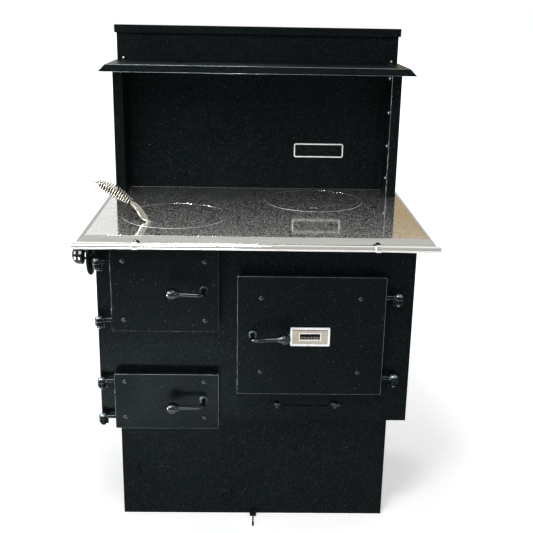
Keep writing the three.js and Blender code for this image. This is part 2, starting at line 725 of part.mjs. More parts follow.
// ---------------------------------------------------------------- splash back and shelf
function splash() {
  const foot = cookHeight + seatGap;
  const backTop = capTop - capSheet - seatGap;
  add('splash_back', plateXZ(polygon([
    [-splashHalf, foot], [splashHalf, foot], [splashHalf, backTop], [-splashHalf, backTop],
  ]), splashFace, splashFace + splashSheet), blackPaint);

  const front = splashFace - columnDeep;
  const rear = splashFace - seatGap;
  const top = shelfTop - shelfSheet - seatGap;
  for (const [side, label] of [[-1, 'left'], [1, 'right']]) {
    const outer = columnHalf;
    const inner = columnHalf - columnWide;
    const s = columnSheet;
    const section = [
      [outer, rear], [outer, front], [inner, front], [inner, rear], [inner + columnLip, rear],
      [inner + columnLip, rear - s], [inner + s, rear - s], [inner + s, front + s],
      [outer - s, front + s], [outer - s, rear],
    ].map(([x, y]) => [side * x, y]);
    add(`splash_column_${label}`, plateXY(polygon(side > 0 ? section : section.reverse()), foot, top),
      blackPaint);
  }

  const shelfFront = splashFace - seatGap - shelfDeep;
  const deck = block(-shelfHalf, shelfHalf, shelfFront, splashFace - seatGap,
    shelfTop - shelfSheet, shelfTop);
  const slope = shelfLipDrop / shelfLipRun;
  const steep = shelfSheet * Math.hypot(1, slope) / slope;
  const section = [
    [0, shelfTop], [shelfLipRun, shelfTop - shelfLipDrop],
    [shelfLipRun - steep, shelfTop - shelfLipDrop], [-steep, shelfTop],
  ];
  const station = (x, y, outX, outY) => section.map(([out, z]) =>
    new THREE.Vector3(x + out * outX, y + out * outY, z));
  const rearEdge = splashFace - seatGap;
  const lip = loft([
    station(-shelfHalf, rearEdge, -1, 0), station(-shelfHalf, shelfFront, -1, -1),
    station(shelfHalf, shelfFront, 1, -1), station(shelfHalf, rearEdge, 1, 0),
  ]);
  add('warming_shelf', join(deck, lip), blackPaint);

  const y0 = splashFace - capForward - capSheet;
  const y1 = splashFace + splashSheet + seatGap + capSheet;
  const low = capTop - capBand;
  const hat = polygon([
    [y0, low], [y0 + capSheet, low], [y0 + capSheet, capTop - capSheet],
    [y1 - capSheet, capTop - capSheet], [y1 - capSheet, low], [y1, low], [y1, capTop], [y0, capTop],
  ]);
  add('backguard_cap', plateYZ(hat, -capHalf, capHalf), blackPaint);
}

// ---------------------------------------------------------------- doors
// Door pan with its two hinge straps, the spindle's bushing and, on the oven, the meter's hole.
function doorPanel(door) {
  const { name, x, z, hingeSide, hingeZ, spindle } = door;
  const outline = roundRect(x[0], x[1], z[0], z[1], doorCorner);
  const pocket = plateXZ(roundRect(x[0] + doorRim, x[1] - doorRim, z[0] + doorRim, z[1] - doorRim, 3),
    doorFront + doorSheet, doorBack + 1, 3);
  const spindleBore = rod(spindleRadius + turnGap, 'y', doorFront - bossLong - 1, doorBack + 1,
    [spindle[0], 0, spindle[1]], 16);
  const bushing = rod(bossRadius, 'y', doorFront - bossLong, doorFront + doorSheet,
    [spindle[0], 0, spindle[1]], 16);
  const edge = hingeSide < 0 ? x[0] : x[1];
  const axisX = edge + hingeSide * hingeOut;
  const straps = hingeZ.flatMap((height) => {
    const low = height - hingeEye / 2;
    const high = height + hingeEye / 2;
    const inner = edge - hingeSide * doorRim / 2;
    const arm = block(Math.min(axisX, inner), Math.max(axisX, inner), hingeY - strapThick / 2,
      hingeY + strapThick / 2, low, high);
    return [arm, rod(hingeRadius, 'z', low, high, [axisX, hingeY, 0], 16)];
  });
  const eyes = hingeZ.map((height) => rod(hingePin + turnGap, 'z', height - hingeEye,
    height + hingeEye, [axisX, hingeY, 0], 16));
  const pan = cut(plateXZ(outline, doorFront, doorBack, 3), pocket);
  const holes = [spindleBore, ...eyes];
  if (name === 'oven') holes.push(meterHole());
  add(`${name}_door_panel`, cut(join(pan, bushing, ...straps), ...holes), blackPaint);
}

function doorGasket({ name, opening }) {
  const { x, z } = opening;
  const w = gasketLap + gasketWide;
  const l = gasketLap;
  const ring = roundRect(x[0] - w, x[1] + w, z[0] - w, z[1] + w, openingCorner + w);
  ring.holes.push(roundRect(x[0] - l, x[1] + l, z[0] - l, z[1] + l, openingCorner + l, THREE.Path));
  add(`${name}_door_gasket`, plateXZ(ring, gasketFront, gasketBack, 3), rope);
}

// The liner is a shallow pan inside the opening, open towards the door and screwed to its rim.
function doorLiner({ name, opening, spindle }) {
  const { x, z } = opening;
  const c = linerClear;
  const outer = plateXZ(roundRect(x[0] + c, x[1] - c, z[0] + c, z[1] - c, 6), gasketFront, linerBack, 3);
  const w = c + linerSheet;
  const inner = plateXZ(roundRect(x[0] + w, x[1] - w, z[0] + w, z[1] - w, 4), gasketFront - 1,
    linerBack - linerSheet, 3);
  const bore = rod(spindleRadius + turnGap, 'y', gasketFront - 1, linerBack + 1,
    [spindle[0], 0, spindle[1]], 16);
  add(`${name}_door_liner`, cut(outer, inner, bore), rawSteel);
}

// The handle is one bent rod: spindle through the door, a round bend, and a level arm to its knob.
function doorHandle(door) {
  const { name, spindle, knobAt } = door;
  const rodY = doorFront - handleStandOff;
  const inEnd = latchFront + latchThick + 3;
  const arm = new THREE.Vector2(knobAt[0] - spindle[0], knobAt[1] - spindle[1]);
  const reach = arm.length() - knobRadius + knobSocket;
  const way = new THREE.Vector3(arm.x, 0, arm.y).normalize();
  const at = (y, out) => new THREE.Vector3(spindle[0], y, spindle[1]).addScaledVector(way, out);
  const route = new THREE.CurvePath();
  route.add(new THREE.LineCurve3(at(inEnd, 0), at(rodY + handleBend, 0)));
  const k = handleBend * 0.4477;
  route.add(new THREE.CubicBezierCurve3(at(rodY + handleBend, 0), at(rodY + k, 0), at(rodY, k),
    at(rodY, handleBend)));
  route.add(new THREE.LineCurve3(at(rodY, handleBend), at(rodY, reach)));
  const total = route.getLength();
  const bendStart = inEnd - rodY - handleBend;
  const bendLong = route.curves[1].getLength();
  const stops = [0, ...Array.from({ length: 7 }, (_, i) => bendStart + bendLong * i / 6), total];
  const sides = 12;
  const across = new THREE.Vector3(-way.z, 0, way.x);
  const rings = stops.map((s) => {
    const u = Math.min(s / total, 1);
    const p = route.getPointAt(u);
    const t = route.getTangentAt(u).normalize();
    const n = new THREE.Vector3().crossVectors(across, t).normalize();
    return Array.from({ length: sides }, (_, i) => {
      const a = 2 * Math.PI * i / sides;
      return p.clone().addScaledVector(across, spindleRadius * Math.cos(a))
        .addScaledVector(n, spindleRadius * Math.sin(a));
    });
  });
  add(`${name}_door_handle`, loft(rings), blackGloss);

  // The knob is a turned ball with a neck towards the rod, a groove and a blind bore.
  const bore = spindleRadius + seatGap;
  const r = knobRadius;
  const socketEnd = -r + knobSocket + seatGap;
  const profile = [[0, socketEnd], [bore, socketEnd], [bore, -r - 3], [bore + 3.2, -r - 3],
    [bore + 3.6, -r + 2]];
  for (let i = 1; i <= 9; i += 1) {
    const a = Math.PI * (0.22 + 0.78 * (i / 9));
    const groove = i === 3 || i === 5 ? 1.0 : 0;
    profile.push([Math.max((r - groove) * Math.sin(a), 0), -(r - groove) * Math.cos(a)]);
  }
  profile[profile.length - 1][0] = 0;
  const knob = turned(profile, 'x', [0, 0, 0], 16);
  knob.rotateY(-Math.atan2(way.z, way.x)).translate(knobAt[0], rodY, knobAt[1]);
  add(`${name}_door_knob`, knob, knobBlack);
}

// The latch is a tapered cam on the spindle's inner end; its nose points at the opening's edge.
function doorLatch(door) {
  const { name, spindle, opening, hingeSide } = door;
  const edge = hingeSide < 0 ? opening.x[1] : opening.x[0];
  const side = -hingeSide;
  const reach = Math.abs(edge - spindle[0]) - latchShort;
  const cam = new THREE.Shape();
  cam.absarc(0, 0, latchHub, Math.PI / 3, 2 * Math.PI - Math.PI / 3, false);
  cam.lineTo(reach, -5);
  cam.lineTo(reach, 5);
  cam.holes.push(circleHole(0, 0, spindleRadius + seatGap));
  const plate = plateXZ(cam, latchFront, latchFront + latchThick, 8);
  if (side < 0) plate.rotateY(Math.PI);
  add(`${name}_door_latch`, plate.translate(spindle[0], 0, spindle[1]), rawSteel);
}

// A hinge bracket on the front plate: pad, arm, knuckle below the strap, and its pin with a domed
// head above the strap and a nut below the knuckle.
function hinge(door, height, label) {
  const edge = door.hingeSide < 0 ? door.x[0] : door.x[1];
  const x = edge + door.hingeSide * hingeOut;
  const strapLow = height - hingeEye / 2;
  const strapHigh = height + hingeEye / 2;
  const knuckleHigh = strapLow - seatGap;
  const knuckleLow = knuckleHigh - hingeKnuckle;
  const pad = block(x - 11, x + 11, bodyFront - seatGap - hingePad, bodyFront - seatGap,
    knuckleLow - 14, knuckleHigh);
  const arm = block(x - 8, x + 8, hingeY, bodyFront - seatGap - 1, knuckleLow, knuckleHigh);
  const knuckle = rod(hingeRadius, 'z', knuckleLow, knuckleHigh, [x, hingeY, 0], 16);
  const headLow = strapHigh + seatGap;
  const pin = turned([
    [0, knuckleLow - hingeNut], [hingePin, knuckleLow - hingeNut],
    [hingePin, headLow], [hingeHeadRadius, headLow], [hingeHeadRadius, headLow + hingeHead * 0.35],
    [hingeHeadRadius * 0.72, headLow + hingeHead * 0.8], [hingeHeadRadius * 0.3, headLow + hingeHead],
    [0, headLow + hingeHead],
  ], 'z', [x, hingeY, 0], 12);
  const nut = rod(hingeNutRadius, 'z', knuckleLow - hingeNut + 2, knuckleLow + 1, [x, hingeY, 0], 6);
  add(`${door.name}_hinge_${label}`, join(pad, arm, knuckle, pin, nut), blackPaint);
}

// ---------------------------------------------------------------- oven thermometer
function meterHole() {
  const [x, z] = meterCentre;
  const [w, h] = meterCup.map((size) => size / 2 + seatGap);
  return block(x - w, x + w, doorFront - 1, doorFront + doorSheet + 1, z - h, z + h);
}

function meter() {
  const [x, z] = meterCentre;
  const back = doorFront - seatGap;
  const front = back - meterProud;
  const rect = (w, h, r, Kind) => roundRect(x - w / 2, x + w / 2, z - h / 2, z + h / 2, r, Kind);
  const rim = plateXZ(rect(meterWide, meterHigh, 3), front, back, 3);
  const dish = plateXZ(rect(meterWide - 2 * meterRim, meterHigh - 2 * meterRim, 1.5), front - 1,
    front + meterPlateBack, 3);
  const lipWide = 2.4;
  const [winW, winH] = meterWindow;
  const lip = plateXZ(rect(winW + 2 * lipWide, winH + 2 * lipWide, 2), front + 0.5, back, 3);
  const window = plateXZ(rect(winW, winH, 0.8), front - 1, back + 1, 3);
  add('thermometer_bezel', cut(join(cut(rim, dish), lip), window), stainless);

  const [cupW, cupH] = meterCup;
  const cupFront = doorFront;
  const cupBack = cupFront + meterCupDeep;
  const scaleFace = cupBack - 2;
  const cup = block(x - cupW / 2, x + cupW / 2, cupFront, cupBack, z - cupH / 2, z + cupH / 2);
  const inside = block(x - cupW / 2 + 1.5, x + cupW / 2 - 1.5, cupFront - 1, scaleFace,
    z - cupH / 2 + 1.5, z + cupH / 2 - 1.5);
  const pivotZ = z + pointerPivotRise;
  const pin = rod(1.0, 'y', cupFront + 2, scaleFace + 1, [x, 0, pivotZ], 8);
  add('thermometer_dial', join(cut(cup, inside), pin), dialFace);

  const needleBack = scaleFace - 1;
  const needle = plateXZ(polygon([
    [x - 0.6, pivotZ - pointerLong], [x + 0.6, pivotZ - pointerLong], [x + 1.6, pivotZ],
    [x - 1.6, pivotZ],
  ]), needleBack - 1, needleBack);
  const hub = rod(3.2, 'y', needleBack - 1.6, needleBack, [x, 0, pivotZ], 12);
  const hole = rod(1.0 + seatGap, 'y', needleBack - 4, needleBack + 1, [x, 0, pivotZ], 8);
  add('thermometer_pointer', cut(join(needle, hub), hole), pointerRed);
}

// ---------------------------------------------------------------- firebox and ash chamber
function firebox() {
  const front = frontBack + seatGap;
  const rear = front + fireDeep;
  const low = floorTop + seatGap;
  const top = bodyTop;
  const t = fireWall;
  const shell = block(fireLeft, fireRight, front, rear, low, top);
  const upper = block(fireLeft + t, fireRight - t, front - 1, rear - t, hearthTop, top + 1);
  const lower = block(fireLeft + t, fireRight - t, front - 1, rear - t, low - 1, hearthTop - hearthThick);
  const smokeWay = block(fireRight - t - 1, fireRight + 1, front + 60, rear + 1, fireRightTop, top + 1);
  const gx = (fireLeft + fireRight) / 2;
  const gy = grateCentreY;
  const seat = grateSeat;
  const grateHole = block(gx - grateWide / 2 + seat, gx + grateWide / 2 - seat,
    gy - grateLong / 2 + seat, gy + grateLong / 2 - seat, hearthTop - hearthThick - 1, hearthTop + 1);
  const airHole = rod(draftBore, 'x', fireLeft - 1, fireLeft + t + 1,
    [0, crestFront + draftFromFront, draftHeight], 32);
  const ledgeTop = panShelf;
  const ledges = [
    block(fireLeft + t - 1, fireLeft + t + panLedge, front, rear - t + 1, ledgeTop - 3, ledgeTop),
    block(fireRight - t - panLedge, fireRight - t + 1, front, rear - t + 1, ledgeTop - 3, ledgeTop),
  ];
  const casing = cut(shell, upper, lower, smokeWay, grateHole, airHole);
  add('firebox_body', join(casing, ...ledges), rawSteel);

  const g = seatGap;
  const bx0 = fireLeft + t + g;
  const bx1 = fireRight - t - g;
  const by0 = frontBack + brickSetback;
  const by1 = rear - t - g;
  const b = brickThick;
  const bricks = plateXY(polygon([
    [bx0, by0], [bx0 + b, by0], [bx0 + b, by1 - b], [bx1 - b, by1 - b], [bx1 - b, by0], [bx1, by0],
    [bx1, by1], [bx0, by1],
  ]), hearthTop + g, brickTop);
  const draftWay = rod(draftBore + 1, 'x', bx0 - 1, bx0 + b + 1,
    [0, crestFront + draftFromFront, draftHeight], 32);
  add('firebrick_lining', cut(bricks, draftWay), fireBrick);

  const gz = hearthTop + g;
  const frame = block(gx - grateWide / 2, gx + grateWide / 2, gy - grateLong / 2, gy + grateLong / 2,
    gz, gz + grateThick);
  const pitch = (grateLong - 20) / grateSlots;
  const slots = Array.from({ length: grateSlots }, (_, i) => {
    const y = gy - grateLong / 2 + 10 + pitch * (i + 0.5);
    return plateXY(roundRect(gx - grateWide / 2 + 14, gx + grateWide / 2 - 14, y - pitch * 0.27,
      y + pitch * 0.27, pitch * 0.22), gz - 1, gz + grateThick + 1, 1);
  });
  add('fire_grate', cut(frame, ...slots), castIron);

  const px = (fireLeft + fireRight) / 2;
  const py = frontBack + panFromFront;
  const pz = panShelf + g;
  const flare = 6;
  const tray = (grow, z) => {
    const w = panWide / 2 - flare + grow;
    const d0 = py + flare - grow;
    const d1 = py + panDeep - flare + grow;
    return [[-w, d0], [w, d0], [w, d1], [-w, d1]].map(([dx, y]) => new THREE.Vector3(px + dx, y, z));
  };
  const outside = loft([tray(0, pz), tray(flare, pz + panHigh)]);
  const hollow = loft([tray(-panSheet, pz + panSheet), tray(flare - panSheet, pz + panHigh + 0.5)]);
  const half = panPullHalf;
  const thick = panPullThick;
  const pullLow = pz + panPullRise;
  const grip = py - panPullOut;
  const pull = join(
    block(px - half, px - half + thick, grip + thick, py + thick / 2, pullLow, pullLow + thick),
    block(px + half - thick, px + half, grip + thick, py + thick / 2, pullLow, pullLow + thick),
    block(px - half, px + half, grip, grip + thick, pullLow, pullLow + thick),
  );
  add('ash_pan', join(cut(outside, hollow), pull), galvanised);
}

// ---------------------------------------------------------------- oven
function oven() {
  const front = frontBack + seatGap;
  const rear = front + ovenDeep;
  const s = ovenSheet;
  const [x0, x1] = ovenX;
  const [z0, z1] = ovenZ;
  const shell = block(x0 - s, x1 + s, front, rear, z0 - s, z1 + s);
  const cavity = block(x0, x1, front - 1, rear - s, z0, z1);
  const runners = [[x0 - 1, x0 + runnerWide], [x1 - runnerWide, x1 + 1]].map(([a, b]) =>
    block(a, b, front + 20, rear - s - 10, runnerTop - runnerHigh, runnerTop));
  add('oven_box', join(cut(shell, cavity), ...runners), blackPaint);

  const rx0 = x0 + slideGap + rackFrame / 2;
  const rx1 = x1 - slideGap - rackFrame / 2;
  const ry0 = front + rackFromFront;
  const ry1 = ry0 + rackDeep;
  const rz = runnerTop + seatGap + rackFrame;
  const rails = [
    ...[ry0, ry1].map((y) => rod(rackFrame, 'x', rx0, rx1, [0, y, rz], 8)),
    ...[rx0 + 3, rx1 - 3].map((x) => rod(rackFrame, 'y', ry0 - 2, ry1 + 2, [x, 0, rz], 8)),
  ];
  const wires = Array.from({ length: rackWires }, (_, i) => {
    const x = rx0 + (rx1 - rx0) * (i + 1) / (rackWires + 1);
    return rod(rackWire, 'y', ry0, ry1, [x, 0, rz + 1], 6);
  });
  add('oven_rack', join(...rails, ...wires), chrome);
}

// ---------------------------------------------------------------- soot cleanout under the oven
function sootDoor() {
  const x = [cleanout.x[0] - coverLap, cleanout.x[1] + coverLap];
  const z = [cleanout.z[0] - coverBelow, cleanout.z[1] + coverAbove];
  const thick = coverThick;
  const back = bodyFront - seatGap;
  add('cleanout_cover', plateXZ(roundRect(x[0], x[1], z[0], z[1], 4), back - thick, back, 3), blackPaint);
  for (const { label, x: bx, wide, tilt } of turnButtons) {
    const front = back - thick - seatGap;
    const wing = plateXZ(roundRect(-wide / 2, wide / 2, -5, 5, 4.6), front - 4, front, 2);
    const drop = plateXZ(roundRect(-4.5, 4.5, z[1] - 8 - turnButtonZ, 0, 2.5), front - 4, front, 1);
    const arms = join(wing, drop);
    arms.rotateY(THREE.MathUtils.degToRad(tilt)).translate(bx, 0, turnButtonZ);
    const stud = turned([
      [0, front - 8], [turnButtonHead * 0.45, front - 8], [turnButtonHead * 0.85, front - 6.6],
      [turnButtonHead, front - 4.6], [turnButtonHead, front - 3], [turnButtonStud, front - 3],
      [turnButtonStud, frontBack + seatGap], [turnButtonHead, frontBack + seatGap],
      [turnButtonHead, frontBack + 3], [0, frontBack + 3],
    ], 'y', [bx, 0, turnButtonZ], 12);
    add(`cleanout_latch_${label}`, join(arms, stud), blackGloss);
  }
}

// ---------------------------------------------------------------- spin draft on the left side
function draft() {
  const y = crestFront + draftFromFront;
  const z = draftHeight;
  const side = -bodyHalf;
  const rim = side - draftOut;
  const inEnd = fireLeft - seatGap;
  const at = [0, y, z];
  const r0 = draftBore;
  const r1 = draftBore + draftWall;
  const pipe = turned([
    [r0, rim], [r1, rim], [r1, side - seatGap - 4], [draftFlange, side - seatGap - 4],
    [draftFlange, side - seatGap], [r1, side - seatGap], [r1, inEnd], [r0, inEnd],
  ], 'x', at, 32);
  const bar = block(side - 6, side + 4, y - 7, y + 7, z - r0 - 1, z + r0 + 1);
  const nut = rod(12, 'x', side - 12, side + 10, at, 16);
  const bore = rod(draftSpindle + turnGap, 'x', side - 20, side + 20, at, 16);
  add('draft_collar', cut(join(pipe, bar, nut), bore), blackPaint);

  const face = rim - draftOpen;
  const discOut = face - draftDiscEdge;
  const disc = turned([
    [draftSpindle + turnGap, face - 3], [draftDiscRadius * 0.55, face - 3],
    [draftDiscRadius * 0.62, face], [draftDiscRadius - 1, face], [draftDiscRadius, face - 1.5],
    [draftDiscRadius, discOut + 2.5], [draftDiscRadius - 3, discOut],
    [draftDiscRadius * 0.62, discOut], [draftDiscRadius * 0.5, discOut - 3],
    [draftSpindle + turnGap, discOut - 3],
  ], 'x', at, 32);
  add('draft_disc', disc, blackPaint);

  const hubIn = discOut - 3 - seatGap;
  const hubOut = hubIn - draftHubLong;
  const knobIn = hubOut - seatGap;
  const knobOut = knobIn - draftKnobLong;
  const spindleIn = side + 16;
  add('draft_spindle', turned([
    [0, knobIn - 16], [draftSpindle, knobIn - 16], [draftSpindle, hubOut],
    [draftHubRadius, hubOut + 0.8], [draftHubRadius, hubIn], [draftSpindle, hubIn],
    [draftSpindle, spindleIn - 1], [draftSpindle - 1, spindleIn], [0, spindleIn],
  ], 'x', at, 16), chrome);

  const r = draftKnobRadius;
  const boreR = draftSpindle + seatGap;
  const knob = [
    [0, knobIn - 17], [boreR, knobIn - 17], [boreR, knobIn], [r * 0.5, knobIn], [r * 0.55, knobIn - 2],
    [r * 0.93, knobIn - 4], [r, knobIn - 6.5], [r, knobIn - 12], [r * 0.96, knobIn - 14],
    [r * 0.98, knobIn - 16],
  ];
  const domeStart = knobIn - 18;
  const domeLong = draftKnobLong - 18;
  for (let i = 1; i <= 6; i += 1) {
    const a = (Math.PI / 2) * (i / 6);
    knob.push([r * 0.98 * Math.cos(a), domeStart - domeLong * Math.sin(a)]);
  }
  knob[knob.length - 1] = [0, knobOut];
  add('draft_knob', turned(knob, 'x', at, 20), knobBlack);
}

// ---------------------------------------------------------------- assembly
pedestal();
casing();
cooktop();
lids.forEach((each, i) => lid(each, lidCentres[i]));
lifter();
splash();
for (const door of doors) {
  doorPanel(door);
  doorGasket(door);
  doorLiner(door);
  doorHandle(door);
  doorLatch(door);
  hinge(door, door.hingeZ[0], 'upper');
  hinge(door, door.hingeZ[1], 'lower');
}
meter();
firebox();
oven();
sootDoor();
draft();

export default stove;
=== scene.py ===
"""Looks of the wood cookstove: paint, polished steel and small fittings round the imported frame.

Metres, +Z up, the front faces -Y. The frame and the sizes come first, then the finishes, the ways to make
a piece, the sheet metal, and the fittings group by group, then the camera and the studio.
"""
import json
import math

import bmesh
import bpy
from mathutils import Matrix, Vector


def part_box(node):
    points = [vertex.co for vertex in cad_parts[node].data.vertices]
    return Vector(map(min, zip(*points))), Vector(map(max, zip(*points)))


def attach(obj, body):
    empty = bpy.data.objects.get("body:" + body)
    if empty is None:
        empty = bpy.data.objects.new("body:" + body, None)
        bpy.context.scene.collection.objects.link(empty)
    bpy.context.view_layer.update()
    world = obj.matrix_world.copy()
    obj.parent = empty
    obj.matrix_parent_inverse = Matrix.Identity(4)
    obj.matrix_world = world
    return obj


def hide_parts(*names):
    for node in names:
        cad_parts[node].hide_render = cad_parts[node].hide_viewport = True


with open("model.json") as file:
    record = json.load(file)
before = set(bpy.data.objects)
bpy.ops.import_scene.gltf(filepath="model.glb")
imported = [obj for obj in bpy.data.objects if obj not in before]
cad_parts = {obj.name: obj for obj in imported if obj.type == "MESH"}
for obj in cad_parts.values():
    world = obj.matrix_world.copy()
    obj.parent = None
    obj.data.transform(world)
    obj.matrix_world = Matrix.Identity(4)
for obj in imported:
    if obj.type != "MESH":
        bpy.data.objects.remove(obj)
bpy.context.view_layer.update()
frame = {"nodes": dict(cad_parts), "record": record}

MM = 0.001
FULL_TURN = 2 * math.pi
record = frame["record"]
slot_of = {part["node"]: part["material_slot"] for part in record["subparts"]}
body_of_node = {
    node: body
    for body, nodes in record["behaviour"]["bodies"].items()
    for node in nodes
}

# ---------------------------------------------------------------- sizes
DOOR_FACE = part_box("cooktop_plate")[0].y - 0.3 * MM
SPLASH_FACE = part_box("splash_back")[0].y
HANDLE_STAND_OFF = 48 * MM
HANDLE_RADIUS = 6 * MM
HANDLE_BEND = 14 * MM
KNOB_RADIUS = 17 * MM
KNOB_SOCKET = 14 * MM
HANDLES = {
    "fire": {"spindle": (-144, 760), "knob": (-228, 764)},
    "ash": {"spindle": (-146, 427), "knob": (-232, 424)},
    "oven": {"spindle": (-8, 630), "knob": (80, 636)},
}
DOOR_BOLTS = {
    "fire": [(-366, 840.5), (-140.5, 840.5), (-366, 669.5), (-140.5, 669.5)],
    "ash": [(-370, 481.5), (-144, 481.5), (-370, 371), (-144, 371)],
    "oven": [(15, 738), (291.8, 738), (15, 516.5), (291.8, 516.5)],
}
BOLT_RADIUS = 7 * MM
BOLT_HEIGHT = 3.4 * MM
SCREW_RADIUS = 5 * MM
SCREW_HEIGHT = 2 * MM
SHEET_EDGE = 0.6 * MM
DOOR_EDGE = 2.2 * MM
SHELF_EDGE = 1.2 * MM
COLUMN_EDGE = 3.0 * MM
RIM_EDGE = 1.0 * MM
LID_EDGE = 1.7 * MM

# Faces that take another finish than their piece, by how they lean and how big they are.
HIGHLIGHT_FACE_WIDTH = 4 * MM
STRAIGHT = 0.985
FACING = 0.85
UPRIGHT = 0.35
LEVEL = 0.97
SMALL_FACE = 4e-5
COLUMN_BEND_WAY = Vector((-0.7071, -0.7071, 0))

# The room that the stove mirrors: dimmer ahead of it, and warm behind its right-hand end.
FLOOR_GLOW_NEAR = 0.42
FLOOR_FADE = (0.7, 2.6)
WORLD_LIGHT = 0.42
ROOM_AHEAD = (0.0, -0.94, 0.34)
ROOM_AHEAD_EDGE = (0.25, 0.75)
ROOM_LEVEL = 0.5
WARM_WALL = (0.17, 0.955, 0.243)
WARM_WALL_EDGE = (0.972, 0.990)
WARM_COLOUR = (0.50, 0.37, 0.20)


# ---------------------------------------------------------------- finishes
class Nodes:
    """Short ways to add nodes to the tree of a material or of the world."""

    def __init__(self, tree):
        self.nodes = tree.nodes
        self.links = tree.links

    def join(self, value, socket):
        """Links an outlet to the socket, or sets a plain value on it."""
        if isinstance(value, bpy.types.NodeSocket):
            self.links.new(value, socket)
        else:
            socket.default_value = value

    def maths(self, operation, *values, kind="ShaderNodeMath"):
        node = self.nodes.new(kind)
        node.operation = operation
        for socket, value in zip(node.inputs, values):
            self.join(value, socket)
        return node.outputs["Value"]

    def spread(self, fac, low, high, from_low=0.3, from_high=0.7):
        span = self.nodes.new("ShaderNodeMapRange")
        for socket, value in zip(("Value", "From Min", "From Max", "To Min", "To Max"),
                                 (fac, from_low, from_high, low, high)):
            self.join(value, span.inputs[socket])
        return span.outputs["Result"]

    def mix(self, fac, first, second):
        mix = self.nodes.new("ShaderNodeMix")
        mix.data_type = "RGBA"
        colour_in = [s for s in mix.inputs if s.type == "RGBA"]
        for value, socket in zip((fac, first, second), (mix.inputs[0], *colour_in)):
            self.join((*value, 1) if isinstance(value, tuple) else value, socket)
        return [s for s in mix.outputs if s.type == "RGBA"][0]


class Finish(Nodes):
    """A material with one Principled shader; its patterns follow the piece's own coordinates."""

    def __init__(self, name, **sockets):
        self.material = bpy.data.materials.new(name)
        self.material.use_nodes = True
        super().__init__(self.material.node_tree)
        self.shader = self.nodes["Principled BSDF"]
        self.place = self.nodes.new("ShaderNodeTexCoord").outputs["Object"]
        for socket, value in sockets.items():
            self.shader.inputs[socket.replace("_", " ")].default_value = value

    def noise(self, scale, detail=3.0, roughness=0.55, stretch=(1, 1, 1)):
        mapping = self.nodes.new("ShaderNodeMapping")
        mapping.inputs["Scale"].default_value = stretch
        self.links.new(self.place, mapping.inputs["Vector"])
        noise = self.nodes.new("ShaderNodeTexNoise")
        for socket, value in zip(("Scale", "Detail", "Roughness", "Vector"),
                                 (scale, detail, roughness, mapping.outputs["Vector"])):
            self.join(value, noise.inputs[socket])
        return noise.outputs["Fac"]

    def ramp(self, fac, *stops):
        ramp = self.nodes.new("ShaderNodeValToRGB")
        ramp.color_ramp.elements[0].position = stops[0][0]
        ramp.color_ramp.elements[1].position = stops[-1][0]
        for at, _ in stops[1:-1]:
            ramp.color_ramp.elements.new(at)
        for element, (_, colour) in zip(ramp.color_ramp.elements, stops):
            element.color = (*colour, 1)
        self.links.new(fac, ramp.inputs["Fac"])
        return ramp.outputs["Color"]

    def along(self, axis):
        """The piece's own coordinate along X, Y or Z."""
        split = self.nodes.new("ShaderNodeSeparateXYZ")
        self.links.new(self.place, split.inputs["Vector"])
        return split.outputs[axis]

    def set(self, socket, value):
        self.links.new(value, self.shader.inputs[socket])

    def bump(self, height, strength, depth):
        bump = self.nodes.new("ShaderNodeBump")
        for socket, value in zip(("Strength", "Distance", "Height"), (strength, depth, height)):
            self.join(value, bump.inputs[socket])
        self.set("Normal", bump.outputs["Normal"])


def clouded(name, pattern, dark, pale, wear, rough, relief=None, **sockets):
    """A finish that is cloudy in colour and in roughness.

    pattern and wear are noise settings; without wear the roughness follows the colour. dark and pale are
    (place on the ramp, colour), rough is (low, high) and relief is (noise settings, strength, depth).
    """
    finish = Finish(name, **sockets)
    clouds = finish.noise(*pattern)
    finish.set("Base Color", finish.ramp(clouds, dark, pale))
    finish.set("Roughness", finish.spread(finish.noise(*wear) if wear else clouds, *rough))
    if relief:
        finish.bump(finish.noise(*relief[0]), *relief[1:])
    return finish.material


def satin_black_paint():
    """Stove paint: near black with a green-blue cast, orange peel, and fine pale specks."""
    paint = Finish("satin_black_paint", Specular_IOR_Level=0.055, Specular_Tint=(0.80, 1.0, 1.02, 1))
    cloud = paint.noise(2.6, 5.0)
    base = paint.ramp(cloud, (0.3, (0.0010, 0.0022, 0.0030)), (0.7, (0.0024, 0.0040, 0.0046)))
    grit = paint.spread(paint.noise(230.0, 4.0, 0.8), 0.0, 0.9, 0.50, 0.70)
    gritty = paint.mix(grit, base, (0.020, 0.024, 0.024))
    dots = paint.spread(paint.noise(270.0, 1.0, 0.5), 0.0, 1.0, 0.735, 0.80)
    paint.set("Base Color", paint.mix(dots, gritty, (0.10, 0.11, 0.105)))
    paint.set("Roughness", paint.spread(paint.noise(7.0, 5.0), 0.26, 0.42))
    paint.bump(paint.noise(420.0, 2.0), 0.25, 0.3 * MM)
    return paint.material


def polished_top_steel():
    """Cooktop and lids: a ground plate with fine grain and heat marks, more worn towards the front."""
    steel = Finish("polished_top_steel")
    grain = steel.noise(260.0, 4.0, 0.62, (1.0, 0.12, 1.0))
    mottle = steel.noise(330.0, 2.0, 0.6, (1.0, 0.45, 1.0))
    heat = steel.noise(4.5, 3.0)
    bright = steel.ramp(grain, (0.3, (0.66, 0.67, 0.64)), (0.7, (0.86, 0.87, 0.83)))
    wear = steel.spread(steel.along("Y"), -0.10, 0.15, -0.3, 0.2)
    metal = steel.maths("ADD", steel.spread(mottle, 0.52, 1.08, 0.36, 0.62), wear)
    metal.node.use_clamp = True
    steel.set("Metallic", metal)
    steel.set("Base Color", steel.mix(steel.spread(heat, 0.0, 0.3), bright, (0.50, 0.48, 0.43)))
    steel.set("Roughness", steel.spread(mottle, 0.11, 0.05, 0.4, 0.6))
    steel.bump(grain, 0.04, 0.10 * MM)
    return steel.material


